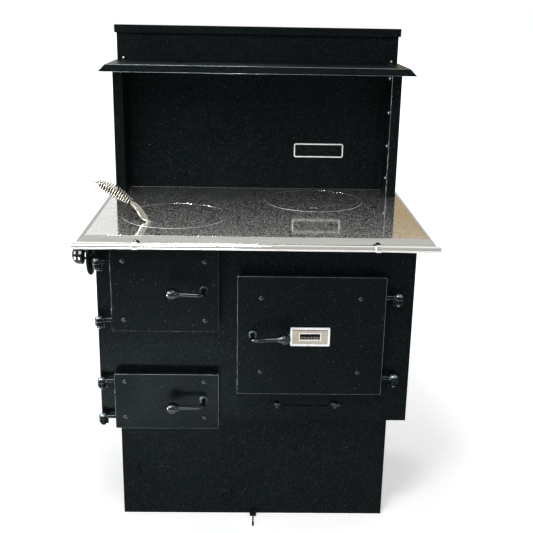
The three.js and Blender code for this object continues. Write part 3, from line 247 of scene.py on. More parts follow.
def lifter_rod_with_coil_shade(shade_from, shade_to):
    """Lifter's rod: bright nickel, with painted shade where the coil covers it."""
    nickel = Finish("lifter_rod_with_coil_shade", Metallic=1.0)
    haze = nickel.noise(60.0, 4.0)
    bright = nickel.ramp(haze, (0.3, (0.58, 0.54, 0.45)), (0.7, (0.74, 0.71, 0.63)))
    place = nickel.along("X")
    fade = 3 * MM
    # Painted shade: under marks the stretch inside the coil, where the rod's colour goes near black.
    under = nickel.maths("MULTIPLY", nickel.spread(place, 0.0, 1.0, shade_from, shade_from + fade),
                         nickel.spread(place, 1.0, 0.0, shade_to - fade, shade_to))
    nickel.set("Base Color", nickel.mix(under, bright, (0.012, 0.010, 0.009)))
    nickel.set("Roughness", nickel.spread(haze, 0.10, 0.22))
    return nickel.material


def lifter_wire_with_inner_shade():
    """Lifter's coil: nickel wire, bright outside, with painted shade on the side that faces the rod."""
    nickel = Finish("lifter_wire_with_inner_shade", Metallic=1.0)
    outward = nickel.nodes.new("ShaderNodeAttribute")
    outward.attribute_name = "outward"
    haze = nickel.noise(80.0, 3.0)
    bright = nickel.ramp(haze, (0.3, (0.44, 0.41, 0.34)), (0.7, (0.58, 0.54, 0.46)))
    # Painted shade: the wire goes near black where outward is low, on its side towards the rod.
    side = nickel.spread(outward.outputs["Fac"], 0.0, 1.0, 0.35, 0.65)
    nickel.set("Base Color", nickel.mix(side, (0.006, 0.005, 0.005), bright))
    nickel.set("Roughness", nickel.spread(haze, 0.14, 0.26))
    return nickel.material


def mill_steel():
    """Firebox plate, liners and latches: dark rolled steel, scaled by heat."""
    steel = Finish("mill_steel", Metallic=0.85)
    scale = steel.noise(14.0, 6.0, 0.65)
    steel.set("Base Color", steel.ramp(scale, (0.3, (0.035, 0.036, 0.04)), (0.5, (0.075, 0.072, 0.07)),
                                       (0.72, (0.13, 0.105, 0.085))))
    steel.set("Roughness", steel.spread(scale, 0.42, 0.68))
    steel.bump(steel.noise(160.0, 4.0), 0.3, 0.3 * MM)
    return steel.material


def fire_brick():
    """Lining: buff bricks laid in courses with thin joints, pitted and sooted."""
    brick = Finish("fire_brick", Specular_IOR_Level=0.15)
    turn = brick.nodes.new("ShaderNodeMapping")
    turn.inputs["Rotation"].default_value = (math.pi / 2, 0, math.pi / 4)
    brick.links.new(brick.place, turn.inputs["Vector"])
    courses = brick.nodes.new("ShaderNodeTexBrick")
    for socket, value in (("Vector", turn.outputs["Vector"]), ("Scale", 1.0), ("Brick Width", 0.16),
                          ("Row Height", 0.0905), ("Mortar Size", 0.0015),
                          ("Color1", (0.46, 0.35, 0.22, 1)), ("Color2", (0.56, 0.44, 0.29, 1)),
                          ("Mortar", (0.16, 0.13, 0.1, 1))):
        brick.join(value, courses.inputs[socket])
    soot = brick.spread(brick.noise(9.0, 5.0), 0.0, 0.65)
    brick.set("Base Color", brick.mix(soot, courses.outputs["Color"], (0.06, 0.05, 0.045)))
    brick.set("Roughness", brick.spread(brick.noise(80.0), 0.85, 0.98))
    brick.bump(brick.noise(240.0, 5.0), 0.5, 0.6 * MM)
    return brick.material


def braided_rope():
    """Door gasket: dark glass-fibre rope, its strands slanting across the seal."""
    rope = Finish("braided_rope", Specular_IOR_Level=0.1, Roughness=0.95)
    wave = rope.nodes.new("ShaderNodeTexWave")
    wave.wave_type = "BANDS"
    wave.bands_direction = "DIAGONAL"
    wave.inputs["Scale"].default_value = 90.0
    wave.inputs["Distortion"].default_value = 1.5
    rope.links.new(rope.place, wave.inputs["Vector"])
    strands = wave.outputs["Fac"]
    rope.set("Base Color", rope.ramp(strands, (0.2, (0.006, 0.006, 0.007)), (0.8, (0.022, 0.022, 0.023))))
    rope.bump(strands, 0.7, 1.0 * MM)
    return rope.material


def zinc_sheet():
    """Ash pan: galvanised sheet with its spangle."""
    zinc = Finish("zinc_sheet", Metallic=0.9)
    spangle = zinc.nodes.new("ShaderNodeTexVoronoi")
    spangle.inputs["Scale"].default_value = 60.0
    zinc.links.new(zinc.place, spangle.inputs["Vector"])
    grey = zinc.ramp(spangle.outputs["Distance"], (0.1, (0.36, 0.38, 0.39)), (0.7, (0.5, 0.52, 0.53)))
    zinc.set("Base Color", zinc.mix(zinc.spread(zinc.noise(12.0), 0.0, 0.7), grey, (0.2, 0.19, 0.18)))
    zinc.set("Roughness", zinc.spread(spangle.outputs["Distance"], 0.35, 0.55, 0.0, 0.6))
    return zinc.material


finishes = {
    "black_paint": satin_black_paint(),
    # Handles, bolts and small latches: smooth gloss paint with faint dulling.
    "black_gloss": clouded(
        "gloss_black_paint", (30.0,), (0.35, (0.0012, 0.0018, 0.0022)), (0.7, (0.003, 0.004, 0.0045)),
        (60.0, 4.0), (0.04, 0.09), ((300.0,), 0.06, 0.2 * MM),
        Specular_IOR_Level=0.5, Specular_Tint=(0.82, 0.98, 1.0, 1)),
    # Turned knobs: hard black plastic with a polish.
    "knob_black": clouded(
        "black_phenolic", (45.0,), (0.35, (0.0014, 0.0018, 0.002)), (0.7, (0.0034, 0.004, 0.0044)),
        (90.0,), (0.04, 0.08), Specular_IOR_Level=0.6, Specular_Tint=(0.85, 0.98, 1.0, 1)),
    "raw_steel": mill_steel(),
    "polished_top": polished_top_steel(),
    # Bevelled rim: satin stainless, its grain along the rim.
    "stainless": clouded(
        "stainless_rim", (260.0, 3.0, 0.6, (0.03, 0.4, 1.0)), (0.3, (0.46, 0.465, 0.43)),
        (0.7, (0.54, 0.54, 0.50)), None, (0.21, 0.25), Metallic=1.0),
    # Draft spindle, oven rack and pull rod: bright plating with fine handling marks.
    "chrome": clouded(
        "chrome_plate", (35.0, 4.0), (0.3, (0.70, 0.71, 0.71)), (0.7, (0.84, 0.85, 0.85)),
        None, (0.05, 0.13), Metallic=1.0),
    # Grate: sand-cast iron.
    "cast_iron": clouded(
        "grey_cast_iron", (18.0, 4.0), (0.3, (0.028, 0.029, 0.031)), (0.7, (0.07, 0.062, 0.056)),
        (420.0, 4.0), (0.62, 0.82), ((420.0, 4.0), 0.6, 0.5 * MM), Metallic=0.6),
    "firebrick": fire_brick(),
    "rope": braided_rope(),
    "galvanised": zinc_sheet(),
    # Meter's face plate and scale: warm cream enamel, slightly aged.
    "dial_face": clouded(
        "cream_dial", (60.0, 4.0), (0.3, (0.39, 0.35, 0.28)), (0.7, (0.48, 0.44, 0.36)),
        None, (0.35, 0.5), Specular_IOR_Level=0.4),
    "pointer_red": clouded(
        "red_pointer", (200.0,), (0.3, (0.07, 0.007, 0.006)), (0.7, (0.11, 0.010, 0.008)),
        (90.0,), (0.35, 0.5), Specular_IOR_Level=0.4),
}
# Printed marks of the meter's scale.
ink_finish = clouded(
    "dial_ink", (220.0,), (0.3, (0.008, 0.008, 0.009)), (0.7, (0.02, 0.02, 0.021)),
    (150.0,), (0.4, 0.6), Specular_IOR_Level=0.3)
# Blank plate on the splash back: black enamel field.
badge_finish = clouded(
    "badge_plate", (60.0,), (0.3, (0.002, 0.0025, 0.003)), (0.7, (0.005, 0.006, 0.007)),
    (120.0,), (0.22, 0.35), Specular_IOR_Level=0.12)
# Border of the badge, rim of the meter and the bright screws: pale satin metal.
silver_finish = clouded(
    "badge_silver", (160.0,), (0.3, (0.84, 0.86, 0.86)), (0.7, (0.94, 0.95, 0.94)),
    (110.0,), (0.25, 0.4), Metallic=0.35)
# Upper half of the meter's window and the line under the rim of its face plate: flat black, painted shade
# of the recess and of the rim.
shade_black_finish = clouded(
    "painted_window_shade", (180.0,), (0.3, (0.002, 0.002, 0.0025)), (0.7, (0.005, 0.005, 0.006)),
    (140.0,), (0.5, 0.7), Specular_IOR_Level=0.1)
# Towel rail and its collars: polished stainless.
rail_finish = clouded(
    "bright_stainless", (180.0, 3.0, 0.6, (0.02, 1.0, 1.0)), (0.3, (0.84, 0.83, 0.79)),
    (0.7, (0.94, 0.93, 0.90)), None, (0.06, 0.12), Metallic=1.0)
# Walls of each lid and of its seat: near black.
gap_finish = clouded(
    "dark_lid_gap", (90.0,), (0.3, (0.004, 0.004, 0.004)), (0.7, (0.014, 0.013, 0.012)),
    (70.0,), (0.6, 0.8), Specular_IOR_Level=0.1)
# Rounded edges of the painted plates: pale grey-blue metal, a painted highlight that draws the edges as
# light lines.
edge_highlight_finish = clouded(
    "edge_highlight_paint", (40.0,), (0.3, (0.21, 0.265, 0.28)), (0.7, (0.38, 0.46, 0.48)),
    (55.0, 4.0), (0.16, 0.26), Metallic=0.7)
# Bend of the right-hand column: a bright metal line, painted highlight where light from the left catches
# the bend.
bend_highlight_finish = clouded(
    "painted_bend_highlight", (22.0, 4.0), (0.35, (0.20, 0.24, 0.26)), (0.65, (0.55, 0.60, 0.62)),
    (70.0,), (0.2, 0.32), Metallic=0.8)
# Rounded edge of each lid: pale and rough, a painted highlight so that the lid's outline shows.
lid_edge_highlight_finish = clouded(
    "lid_edge_highlight_paint", (35.0, 3.0), (0.35, (0.45, 0.47, 0.46)), (0.65, (0.92, 0.93, 0.90)),
    None, (0.50, 0.38), Metallic=0.45)
# Upright lip of the rim behind the rail: warm brown, painted shade for the rail's shadow on the rim.
lip_shade_finish = clouded(
    "painted_lip_shade", (18.0, 3.0, 0.55, (0.4, 1.0, 1.0)), (0.3, (0.25, 0.20, 0.12)),
    (0.7, (0.36, 0.30, 0.20)), None, (0.26, 0.36), Metallic=0.8)


# ---------------------------------------------------------------- making pieces
def new_piece(name, mesh, material=None):
    piece = bpy.data.objects.new(name, mesh)
    bpy.context.scene.collection.objects.link(piece)
    if material:
        mesh.materials.clear()
        mesh.materials.append(material)
    return piece


def apply_modifiers(piece):
    """Turns the piece, with its modifiers, into one plain mesh."""
    bpy.context.view_layer.update()
    graph = bpy.context.evaluated_depsgraph_get()
    made = bpy.data.meshes.new_from_object(piece.evaluated_get(graph))
    piece.modifiers.clear()
    old = piece.data
    piece.data = made
    made.name = piece.name
    if old.users == 0:
        bpy.data.meshes.remove(old)
    return piece


def smooth(piece, degrees=35.0):
    piece.data.shade_smooth()
    piece.data.set_sharp_from_angle(angle=math.radians(degrees))
    return piece


def settle(piece, body, slot, *nodes):
    """The piece rides on its body and stands for the CAD nodes, which it hides; slot is not used."""
    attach(piece, body)
    if nodes:
        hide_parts(*nodes)
    return piece


def eased(node, width, segments=2, corner=38.0, merge=8e-6):
    """A copy of a CAD node with its sharp edges eased to a small radius, as bent or ground metal has."""
    mesh = frame["nodes"][node].data.copy()
    shape = bmesh.new()
    shape.from_mesh(mesh)
    bmesh.ops.remove_doubles(shape, verts=shape.verts, dist=merge)
    bmesh.ops.dissolve_limit(shape, angle_limit=math.radians(0.6), verts=shape.verts, edges=shape.edges)
    shape.to_mesh(mesh)
    shape.free()
    piece = new_piece(node + ".eased", mesh, finishes[slot_of[node]])
    bevel = piece.modifiers.new("ease", "BEVEL")
    bevel.width = width
    bevel.segments = segments
    bevel.limit_method = "ANGLE"
    bevel.angle_limit = math.radians(corner)
    bevel.use_clamp_overlap = True
    bevel.miter_outer = "MITER_ARC"
    apply_modifiers(piece)
    smooth(piece, 40.0)
    flatten = piece.modifiers.new("flat_faces", "WEIGHTED_NORMAL")
    flatten.weight = 100
    flatten.keep_sharp = True
    apply_modifiers(piece)
    return settle(piece, body_of_node[node], slot_of[node], node)


def closed_mesh(name, shape):
    """The shape as a mesh, its faces turned outward."""
    bmesh.ops.recalc_face_normals(shape, faces=shape.faces)
    mesh = bpy.data.meshes.new(name)
    shape.to_mesh(mesh)
    shape.free()
    return mesh


def recolour(mesh, finish, wanted):
    """Gives the finish to the faces that wanted picks."""
    mesh.materials.append(finish)
    for face in mesh.polygons:
        if wanted(face):
            face.material_index = len(mesh.materials) - 1


def turned(name, profile, place, axis, sides=48, material=None):
    """A turned piece: profile points are (radius, distance along the axis), from axis to axis."""
    shape = bmesh.new()
    rings = []
    for radius, along in profile:
        if radius < 1e-7:
            rings.append([shape.verts.new((0, 0, along))])
        else:
            rings.append([
                shape.verts.new((radius * math.cos(FULL_TURN * k / sides),
                                 radius * math.sin(FULL_TURN * k / sides), along))
                for k in range(sides)
            ])
    for low, high in zip(rings, rings[1:] + ([rings[0]] if len(rings[0]) > 1 else [])):
        for k in range(sides):
            corners = [low[k % len(low)], low[(k + 1) % len(low)], high[(k + 1) % len(high)],
                       high[k % len(high)]]
            unique = list(dict.fromkeys(corners))
            if len(unique) > 2:
                shape.faces.new(unique)
    mesh = closed_mesh(name, shape)
    mesh.transform(Matrix.Translation(place) @ Vector(axis).to_track_quat("Z", "Y").to_matrix().to_4x4())
    return smooth(new_piece(name, mesh, material))


# ---------------------------------------------------------------- node trees
def begun_tree(name, sizes):
    """A tree into which come a mesh, the named sizes and a finish; also its inlet."""
    tree = bpy.data.node_groups.new(name, "GeometryNodeTree")
    tree.interface.new_socket("Geometry", in_out="INPUT", socket_type="NodeSocketGeometry")
    for size, kind, usual, least in sizes:
        socket = tree.interface.new_socket(size, in_out="INPUT", socket_type=kind)
        socket.default_value = usual
        socket.min_value = least
    tree.interface.new_socket("Finish", in_out="INPUT", socket_type="NodeSocketMaterial")
    tree.interface.new_socket("Geometry", in_out="OUTPUT", socket_type="NodeSocketGeometry")
    return tree, tree.nodes.new("NodeGroupInput").outputs


def ended_tree(tree, inlet, made):
    """Leaves what was made as one smooth mesh in the finish that came in."""
    for kind in ("GeometryNodeRealizeInstances", "GeometryNodeSetShadeSmooth", "GeometryNodeSetMaterial"):
        node = tree.nodes.new(kind)
        tree.links.new(made, node.inputs["Geometry"])
        made = node.outputs["Geometry"]
    tree.links.new(inlet["Finish"], node.inputs["Material"])
    tree.links.new(made, tree.nodes.new("NodeGroupOutput").inputs["Geometry"])
    return tree


def stud_tree():
    """Sets a domed head on every point of a mesh, its crown along the point's facing."""
    tree, inlet = begun_tree("domed_heads", (("Head radius", "NodeSocketFloat", 0.007, 0.0),
                                             ("Head height", "NodeSocketFloat", 0.0035, 0.0)))
    nodes, links = tree.nodes, tree.links
    head = nodes.new("GeometryNodeMeshUVSphere")
    head.inputs["Segments"].default_value = 20
    head.inputs["Rings"].default_value = 12
    head.inputs["Radius"].default_value = 1.0
    size = nodes.new("ShaderNodeCombineXYZ")
    links.new(inlet["Head radius"], size.inputs["X"])
    links.new(inlet["Head radius"], size.inputs["Y"])
    links.new(inlet["Head height"], size.inputs["Z"])
    facing = nodes.new("GeometryNodeInputNamedAttribute")
    facing.data_type = "FLOAT_VECTOR"
    facing.inputs["Name"].default_value = "facing"
    turn = nodes.new("FunctionNodeAlignRotationToVector")
    turn.axis = "Z"
    links.new(facing.outputs["Attribute"], turn.inputs["Vector"])
    place = nodes.new("GeometryNodeInstanceOnPoints")
    links.new(inlet["Geometry"], place.inputs["Points"])
    links.new(head.outputs["Mesh"], place.inputs["Instance"])
    links.new(turn.outputs["Rotation"], place.inputs["Rotation"])
    links.new(size.outputs["Vector"], place.inputs["Scale"])
    return ended_tree(tree, inlet, place.outputs["Instances"])


def wire_tree():
    """Carries a round section along a chain of edges, and closes its ends."""
    tree, inlet = begun_tree("round_bar_along_path", (("Bar radius", "NodeSocketFloat", 0.004, 0.0),
                                                      ("Sides", "NodeSocketInt", 16, 3)))
    nodes, links = tree.nodes, tree.links
    path = nodes.new("GeometryNodeMeshToCurve")
    links.new(inlet["Geometry"], path.inputs["Mesh"])
    ring = nodes.new("GeometryNodeCurvePrimitiveCircle")
    links.new(inlet["Sides"], ring.inputs["Resolution"])
    links.new(inlet["Bar radius"], ring.inputs["Radius"])
    bar = nodes.new("GeometryNodeCurveToMesh")
    bar.inputs["Fill Caps"].default_value = True
    links.new(path.outputs["Curve"], bar.inputs["Curve"])
    links.new(ring.outputs["Curve"], bar.inputs["Profile Curve"])
    return ended_tree(tree, inlet, bar.outputs["Mesh"])


heads_tree = stud_tree()
bar_tree = wire_tree()


def run_tree(piece, tree, **values):
    """Adds the tree with its inputs set by identifier, and leaves its result as a plain mesh."""
    modifier = piece.modifiers.new(tree.name, "NODES")
    modifier.node_group = tree
    wanted = {name.replace("_", " "): value for name, value in values.items()}
    for item in tree.interface.items_tree:
        if item.in_out == "INPUT" and item.name in wanted:
            modifier[item.identifier] = wanted[item.name]
    return apply_modifiers(piece)


def heads(name, places, radius, height, material, body, slot):
    """Domed heads at (point, direction) places, as one piece on one body."""
    mesh = bpy.data.meshes.new(name)
    mesh.from_pydata([point for point, _ in places], [], [])
    facing = mesh.attributes.new("facing", "FLOAT_VECTOR", "POINT")
    for item, (_, way) in zip(facing.data, places):
        item.vector = way
    piece = new_piece(name, mesh)
    run_tree(piece, heads_tree, Head_radius=radius, Head_height=height, Finish=material)
    return settle(piece, body, slot)


def round_bar(name, points, radius, sides, material):
    mesh = bpy.data.meshes.new(name)
    mesh.from_pydata(points, [(k, k + 1) for k in range(len(points) - 1)], [])
    piece = new_piece(name, mesh)
    run_tree(piece, bar_tree, Bar_radius=radius, Sides=sides, Finish=material)
    return smooth(piece, 50.0)


# ---------------------------------------------------------------- CAD nodes and eased sheet metal
for node, solid in frame["nodes"].items():
    solid.data.materials.clear()
    solid.data.materials.append(finishes[slot_of[node]])
    solid.data.shade_smooth()
    solid.data.set_sharp_from_angle(angle=math.radians(32.0))


def paint_edge_highlights(piece, finish=edge_highlight_finish, along=None):
    """Gives the finish, a painted highlight, to a boxy piece's narrow slanting faces, or to those of them
    that face along.
    """
    mesh = piece.data

    def catches_highlight(face):
        corners = [mesh.vertices[k].co for k in face.vertices]
        longest = max((a - b).length for a in corners for b in corners)
        slants = max(abs(part) for part in face.normal) < STRAIGHT
        narrow = face.area < HIGHLIGHT_FACE_WIDTH * longest
        return slants and narrow and (along is None or face.normal.dot(along) > FACING)

    recolour(mesh, finish, catches_highlight)


for node in ("pedestal_base", "front_plate", "side_panel_left", "side_panel_right", "rear_panel",
             "splash_column_left", "backguard_cap", "cleanout_cover"):
    eased(node, SHEET_EDGE)
# Painted highlight lines on the narrow slanting faces of the shelf, and below of the door panels and
# hinges.
paint_edge_highlights(eased("warming_shelf", SHELF_EDGE))
# Painted highlight along the bend of the right-hand column.
paint_edge_highlights(eased("splash_column_right", COLUMN_EDGE), bend_highlight_finish, COLUMN_BEND_WAY)
for node in ("cleanout_latch_left", "cleanout_latch_right"):
    eased(node, 1.0 * MM, 3)
for door in ("fire", "ash", "oven"):
    paint_edge_highlights(eased(f"{door}_door_panel", DOOR_EDGE, 3))
    for level in ("upper", "lower"):
        paint_edge_highlights(eased(f"{door}_hinge_{level}", 0.5 * MM, 2, 50.0))
# Painted shade: the rim's upright lip takes the brown of the rail's shadow.
recolour(eased("cooktop_trim", RIM_EDGE, 3).data, lip_shade_finish, lambda face: face.normal.y < -FACING)


# ---------------------------------------------------------------- towel rail
def towel_rail():
    """Bar with two collars, each on a black post that flares where it meets the rim."""
    low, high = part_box("front_rail")
    radius = 9.5 * MM
    crown = 3.0 * MM
    collar = 11.5 * MM
    collar_half = 8 * MM
    collar_x = 324 * MM
    edge = 1.2 * MM
    post_radius = 6 * MM
    axis_y = low.y + collar
    axis_z = low.z + collar
    half = high.x
    reach = high.y - axis_y
    profile = [(0.0, -half)]
    profile += [(radius - crown + crown * math.sin(math.pi / 2 * k / 4),
                 -half + crown - crown * math.cos(math.pi / 2 * k / 4)) for k in range(5)]
    profile += [(r, -along) for r, along in reversed(profile[1:])] + [(0.0, half)]
    ring = [(0.0, -collar_half), (collar - edge, -collar_half), (collar, -collar_half + edge),
            (collar, collar_half - edge), (collar - edge, collar_half), (0.0, collar_half)]
    post = [(0.0, 0.0), (post_radius, 0.0), (post_radius, reach - 5 * MM),
            (collar - edge, reach - 3 * MM), (collar, reach - 2 * MM), (collar, reach), (0.0, reach)]
    parts = [turned("towel_rail", profile, (0, axis_y, axis_z), (1, 0, 0), 40, rail_finish)]
    for x in (-collar_x, collar_x):
        place = (x, axis_y, axis_z)
        parts.append(turned("rail_collar", ring, place, (1, 0, 0), 40, rail_finish))
        parts.append(turned("rail_post", post, place, (0, 1, 0), 40, finishes["black_gloss"]))
    return settle(joined("towel_rail.bright", parts), "stove", "stainless", "front_rail")


def joined(name, parts):
    """One object out of several; its meshes stay separate shells."""
    shape = bmesh.new()
    for part in parts:
        shape.from_mesh(part.data)
    mesh = bpy.data.meshes.new(name)
    materials = []
    for part in parts:
        for material in part.data.materials:
            if material not in materials:
                materials.append(material)
    shape.to_mesh(mesh)
    shape.free()
    offset = 0
    for part in parts:
        count = len(part.data.polygons)
        for k in range(count):
            own = part.data.materials[part.data.polygons[k].material_index]
            mesh.polygons[offset + k].material_index = materials.index(own)
        offset += count
    for material in materials:
        mesh.materials.append(material)
    piece = bpy.data.objects.new(name, mesh)
    bpy.context.scene.collection.objects.link(piece)
    for part in parts:
        old = part.data
        bpy.data.objects.remove(part)
        bpy.data.meshes.remove(old)
    return smooth(piece)


towel_rail()


# ---------------------------------------------------------------- door handles, knobs and bolts
def rod_points(spindle, knob):
    """Spindle through the door, round bend, arm to the knob's socket; centre line in metres."""
    start = Vector((spindle[0] * MM, 0, spindle[1] * MM))
    arm = Vector(((knob[0] - spindle[0]) * MM, 0, (knob[1] - spindle[1]) * MM))
    way = arm.normalized()
    rod_y = DOOR_FACE - HANDLE_STAND_OFF
    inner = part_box("fire_door_handle")[1].y
    reach = arm.length - KNOB_RADIUS + KNOB_SOCKET
    bend = HANDLE_BEND
    points = [start + Vector((0, inner, 0)), start + Vector((0, rod_y + bend, 0))]
    steps = 10
    for k in range(1, steps + 1):
        angle = math.pi / 2 * k / steps
        points.append(start + way * (bend * (1 - math.cos(angle)))
                      + Vector((0, rod_y + bend * (1 - math.sin(angle)), 0)))
    points.append(start + way * reach + Vector((0, rod_y, 0)))
    return points, way


def ball_knob(name, centre, way):
    """Turned ball with two cut rings and a neck, on the end of the rod."""
    r = KNOB_RADIUS
    bore = HANDLE_RADIUS + 0.3 * MM
    profile = [(0.0, -r + KNOB_SOCKET), (bore, -r + KNOB_SOCKET), (bore, -r - 3 * MM),
               (bore + 2.2 * MM, -r - 3 * MM), (bore + 3.2 * MM, -r - 2.2 * MM),
               (bore + 3.6 * MM, -r + 1.5 * MM)]
    steps = 26
    for k in range(2, steps):
        angle = math.pi * (0.2 + 0.8 * k / steps)
        cut = 0.9 * MM if k in (7, 8, 12, 13) else 0.0
        profile.append(((r - cut) * math.sin(angle), -(r - cut) * math.cos(angle)))
    profile.append((0.0, r))
    return turned(name, profile, centre, way, 40, finishes["knob_black"])


for door, places in HANDLES.items():
    points, way = rod_points(places["spindle"], places["knob"])
    bar = round_bar(f"{door}_handle_rod", points, HANDLE_RADIUS, 24, finishes["black_gloss"])
    settle(bar, f"{door}_handle", "black_gloss", f"{door}_door_handle")
    centre = Vector((places["knob"][0] * MM, DOOR_FACE - HANDLE_STAND_OFF, places["knob"][1] * MM))
    knob = ball_knob(f"{door}_ball_knob", centre, way)
    settle(knob, f"{door}_handle", "knob_black", f"{door}_door_knob")
    front = (0, -1, 0)
    bolts = [(Vector((x * MM, DOOR_FACE, z * MM)), front) for x, z in DOOR_BOLTS[door]]
    heads(f"{door}_door_bolts", bolts, BOLT_RADIUS, BOLT_HEIGHT, finishes["black_gloss"],
          f"{door}_door", "black_gloss")


# ---------------------------------------------------------------- lids
def darken_walls(mesh):
    """Gives a mesh's upright and downward-facing faces the near-black gap finish, and leaves its top as
    it is.
    """
    recolour(mesh, gap_finish, lambda face: face.normal.z < UPRIGHT)


for node in ("lid_front_left", "lid_rear_right"):
    lid_mesh = eased(node, LID_EDGE, 3, 50.0).data
    darken_walls(lid_mesh)
    # Painted highlight on the lid's rounded edge.
    recolour(lid_mesh, lid_edge_highlight_finish,
             lambda face: UPRIGHT <= face.normal.z < LEVEL and face.area < SMALL_FACE)
darken_walls(eased("cooktop_plate", 0.5 * MM, 1, 50.0).data)


# ---------------------------------------------------------------- lid lifter
def lifter():
    """Shaft that stands in the lid's slot, and the wire wound round its end.

    rise gives the shaft's knots as (out to the left, up, half width), in mm from its foot; t runs from
    0 to 1 along the grip.
    """
    rod = 4.5 * MM
    low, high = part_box("lid_lifter")
    foot = Vector((high.x - rod, (low.y + high.y) / 2, low.z))
    rise = [(0, 0, 4.4), (0.3, 7, 4.4), (5, 13.5, 5.5), (12, 19, 8.8), (18.5, 28, 9.0), (29, 45, 8.6),
            (40, 56.5, 8.0), (49.7, 64.5, 5.5)]
    grip_long = 107 * MM
    slope = (math.radians(39), math.radians(24))
    start = (rise[-1][0] * MM, rise[-1][1] * MM)

    def axis_point(t):
        samples = 24
        out, up = start
        for k in range(samples):
            angle = slope[0] + (slope[1] - slope[0]) * t * (k + 0.5) / samples
            out += math.cos(angle) * grip_long * t / samples
            up += math.sin(angle) * grip_long * t / samples
        angle = slope[0] + (slope[1] - slope[0]) * t
        point = foot + Vector((-out, 0, up))
        return point, Vector((-math.cos(angle), 0, math.sin(angle))), \
            Vector((math.sin(angle), 0, math.cos(angle)))

    knots = [foot + Vector((-out * MM, 0, up * MM)) for out, up, _ in rise]
    widths = [wide * MM for _, _, wide in rise]
    knots += [axis_point(t)[0] for t in (0.12, 0.4, 0.7, 1.0)]
    widths += [rod, rod, rod, rod]
    end, along, _ = axis_point(1.0)
    knots += [end + along * 14 * MM, end + along * 27 * MM + Vector((0, 0, -2.5 * MM))]
    widths += [3.6 * MM, 1.8 * MM]
    first, last = 0.03, 0.97
    grip_start, grip_end = axis_point(0.0)[0].x, axis_point(last)[0].x
    bar = blade("lifter_rod", knots, widths, rod, lifter_rod_with_coil_shade(grip_end, grip_start))
    settle(bar, "lifter", "chrome", "lid_lifter")

    turns = 14
    steps = 28
    wire = 2.0 * MM
    ends = 8.6 * MM
    middle = 16 * MM
    centre = []
    count = turns * steps
    for k in range(count + 1):
        t = first + (last - first) * k / count
        point, _, normal = axis_point(t)
        phase = FULL_TURN * k / steps
        out = normal * math.cos(phase) + Vector((0, 1, 0)) * math.sin(phase)
        radius = ends + (middle - ends) * math.sin(math.pi * k / count)
        centre.append(point + out * radius)
    ends_on_rod = []
    for t in (first, last):
        point, _, normal = axis_point(t)
        ends_on_rod.append(point + normal * (rod + 0.3 * MM))
    centre = [ends_on_rod[0], *centre, ends_on_rod[1]]
    coil = round_bar("lifter_coil", centre, wire, 10, lifter_wire_with_inner_shade())
    # outward runs from 0 on the wire's side towards the rod to 1 outside; the coil's finish paints shade
    # by it.
    outward = coil.data.attributes.new("outward", "FLOAT", "POINT")
    axis_line = [axis_point(k / 60)[0] for k in range(61)]
    for vertex, item in zip(coil.data.vertices, outward.data):
        near = min(axis_line, key=lambda point: (vertex.co - point).length_squared)
        reach = (vertex.co - near).length
        along = (axis_line[0].x - near.x) / (axis_line[0].x - axis_line[-1].x)
        middle_radius = ends + (middle - ends) * math.sin(math.pi * min(max(along, 0.0), 1.0))
        item.value = min(max((reach - middle_radius) / (2 * wire) + 0.5, 0.0), 1.0)
    settle(coil, "lifter", "chrome", "lifter_grip")


def blade(name, knots, widths, thick, material):
    """A forged bar along the knots, oval in section; widths and thick are half sizes."""
    steps, sides = 8, 24
    points = curve_through(knots, steps)
    shape = bmesh.new()
    rings = []
    for k, point in enumerate(points):
        before, after = points[max(k - 1, 0)], points[min(k + 1, len(points) - 1)]
        way = (after - before).normalized()
        across = Vector((way.z, 0, -way.x))
        part, span = min(k // steps, len(widths) - 2), k / steps
        blend = span - part
        blend = blend * blend * (3 - 2 * blend)
        wide = widths[part] * (1 - blend) + widths[part + 1] * blend
        deep = min(wide, thick)
        rings.append([
            shape.verts.new(point + across * wide * math.cos(FULL_TURN * j / sides)
                            + Vector((0, deep * math.sin(FULL_TURN * j / sides), 0)))
            for j in range(sides)
        ])
    for low, high in zip(rings, rings[1:]):
        for j in range(sides):
            n = (j + 1) % sides
            shape.faces.new([low[j], low[n], high[n], high[j]])
    shape.faces.new(rings[0])
    shape.faces.new(list(reversed(rings[-1])))
    mesh = closed_mesh(name, shape)
    return smooth(new_piece(name, mesh, material), 50.0)


def curve_through(knots, steps):
    """Centripetal curve through the knots, as points."""
    padded = [knots[0] * 2 - knots[1], *knots, knots[-1] * 2 - knots[-2]]
    points = [knots[0]]
    for a, b, c, d in zip(padded, padded[1:], padded[2:], padded[3:]):
        times = [0.0]
        for p, q in ((a, b), (b, c), (c, d)):
            times.append(times[-1] + max((q - p).length, 1e-9) ** 0.5)
        t0, t1, t2, t3 = times
        for k in range(1, steps + 1):
            t = t1 + (t2 - t1) * k / steps
            ab = a * ((t1 - t) / (t1 - t0)) + b * ((t - t0) / (t1 - t0))
            bc = b * ((t2 - t) / (t2 - t1)) + c * ((t - t1) / (t2 - t1))
            cd = c * ((t3 - t) / (t3 - t2)) + d * ((t - t2) / (t3 - t2))
            abc = ab * ((t2 - t) / (t2 - t0)) + bc * ((t - t0) / (t2 - t0))
            bcd = bc * ((t3 - t) / (t3 - t1)) + cd * ((t - t1) / (t3 - t1))
            points.append(abc * ((t2 - t) / (t2 - t1)) + bcd * ((t - t1) / (t2 - t1)))
    return points


lifter()


# ---------------------------------------------------------------- splash back, badge and screws
def rounded_outline(u0, u1, v0, v1, radius, steps=6):
    points = []
    for cu, cv, start in ((u1 - radius, v0 + radius, -0.25), (u1 - radius, v1 - radius, 0.0),
                          (u0 + radius, v1 - radius, 0.25), (u0 + radius, v0 + radius, 0.5)):
        for k in range(steps + 1):
            angle = FULL_TURN * (start + 0.25 * k / steps)
            points.append((cu + radius * math.cos(angle), cv + radius * math.sin(angle)))
    return points


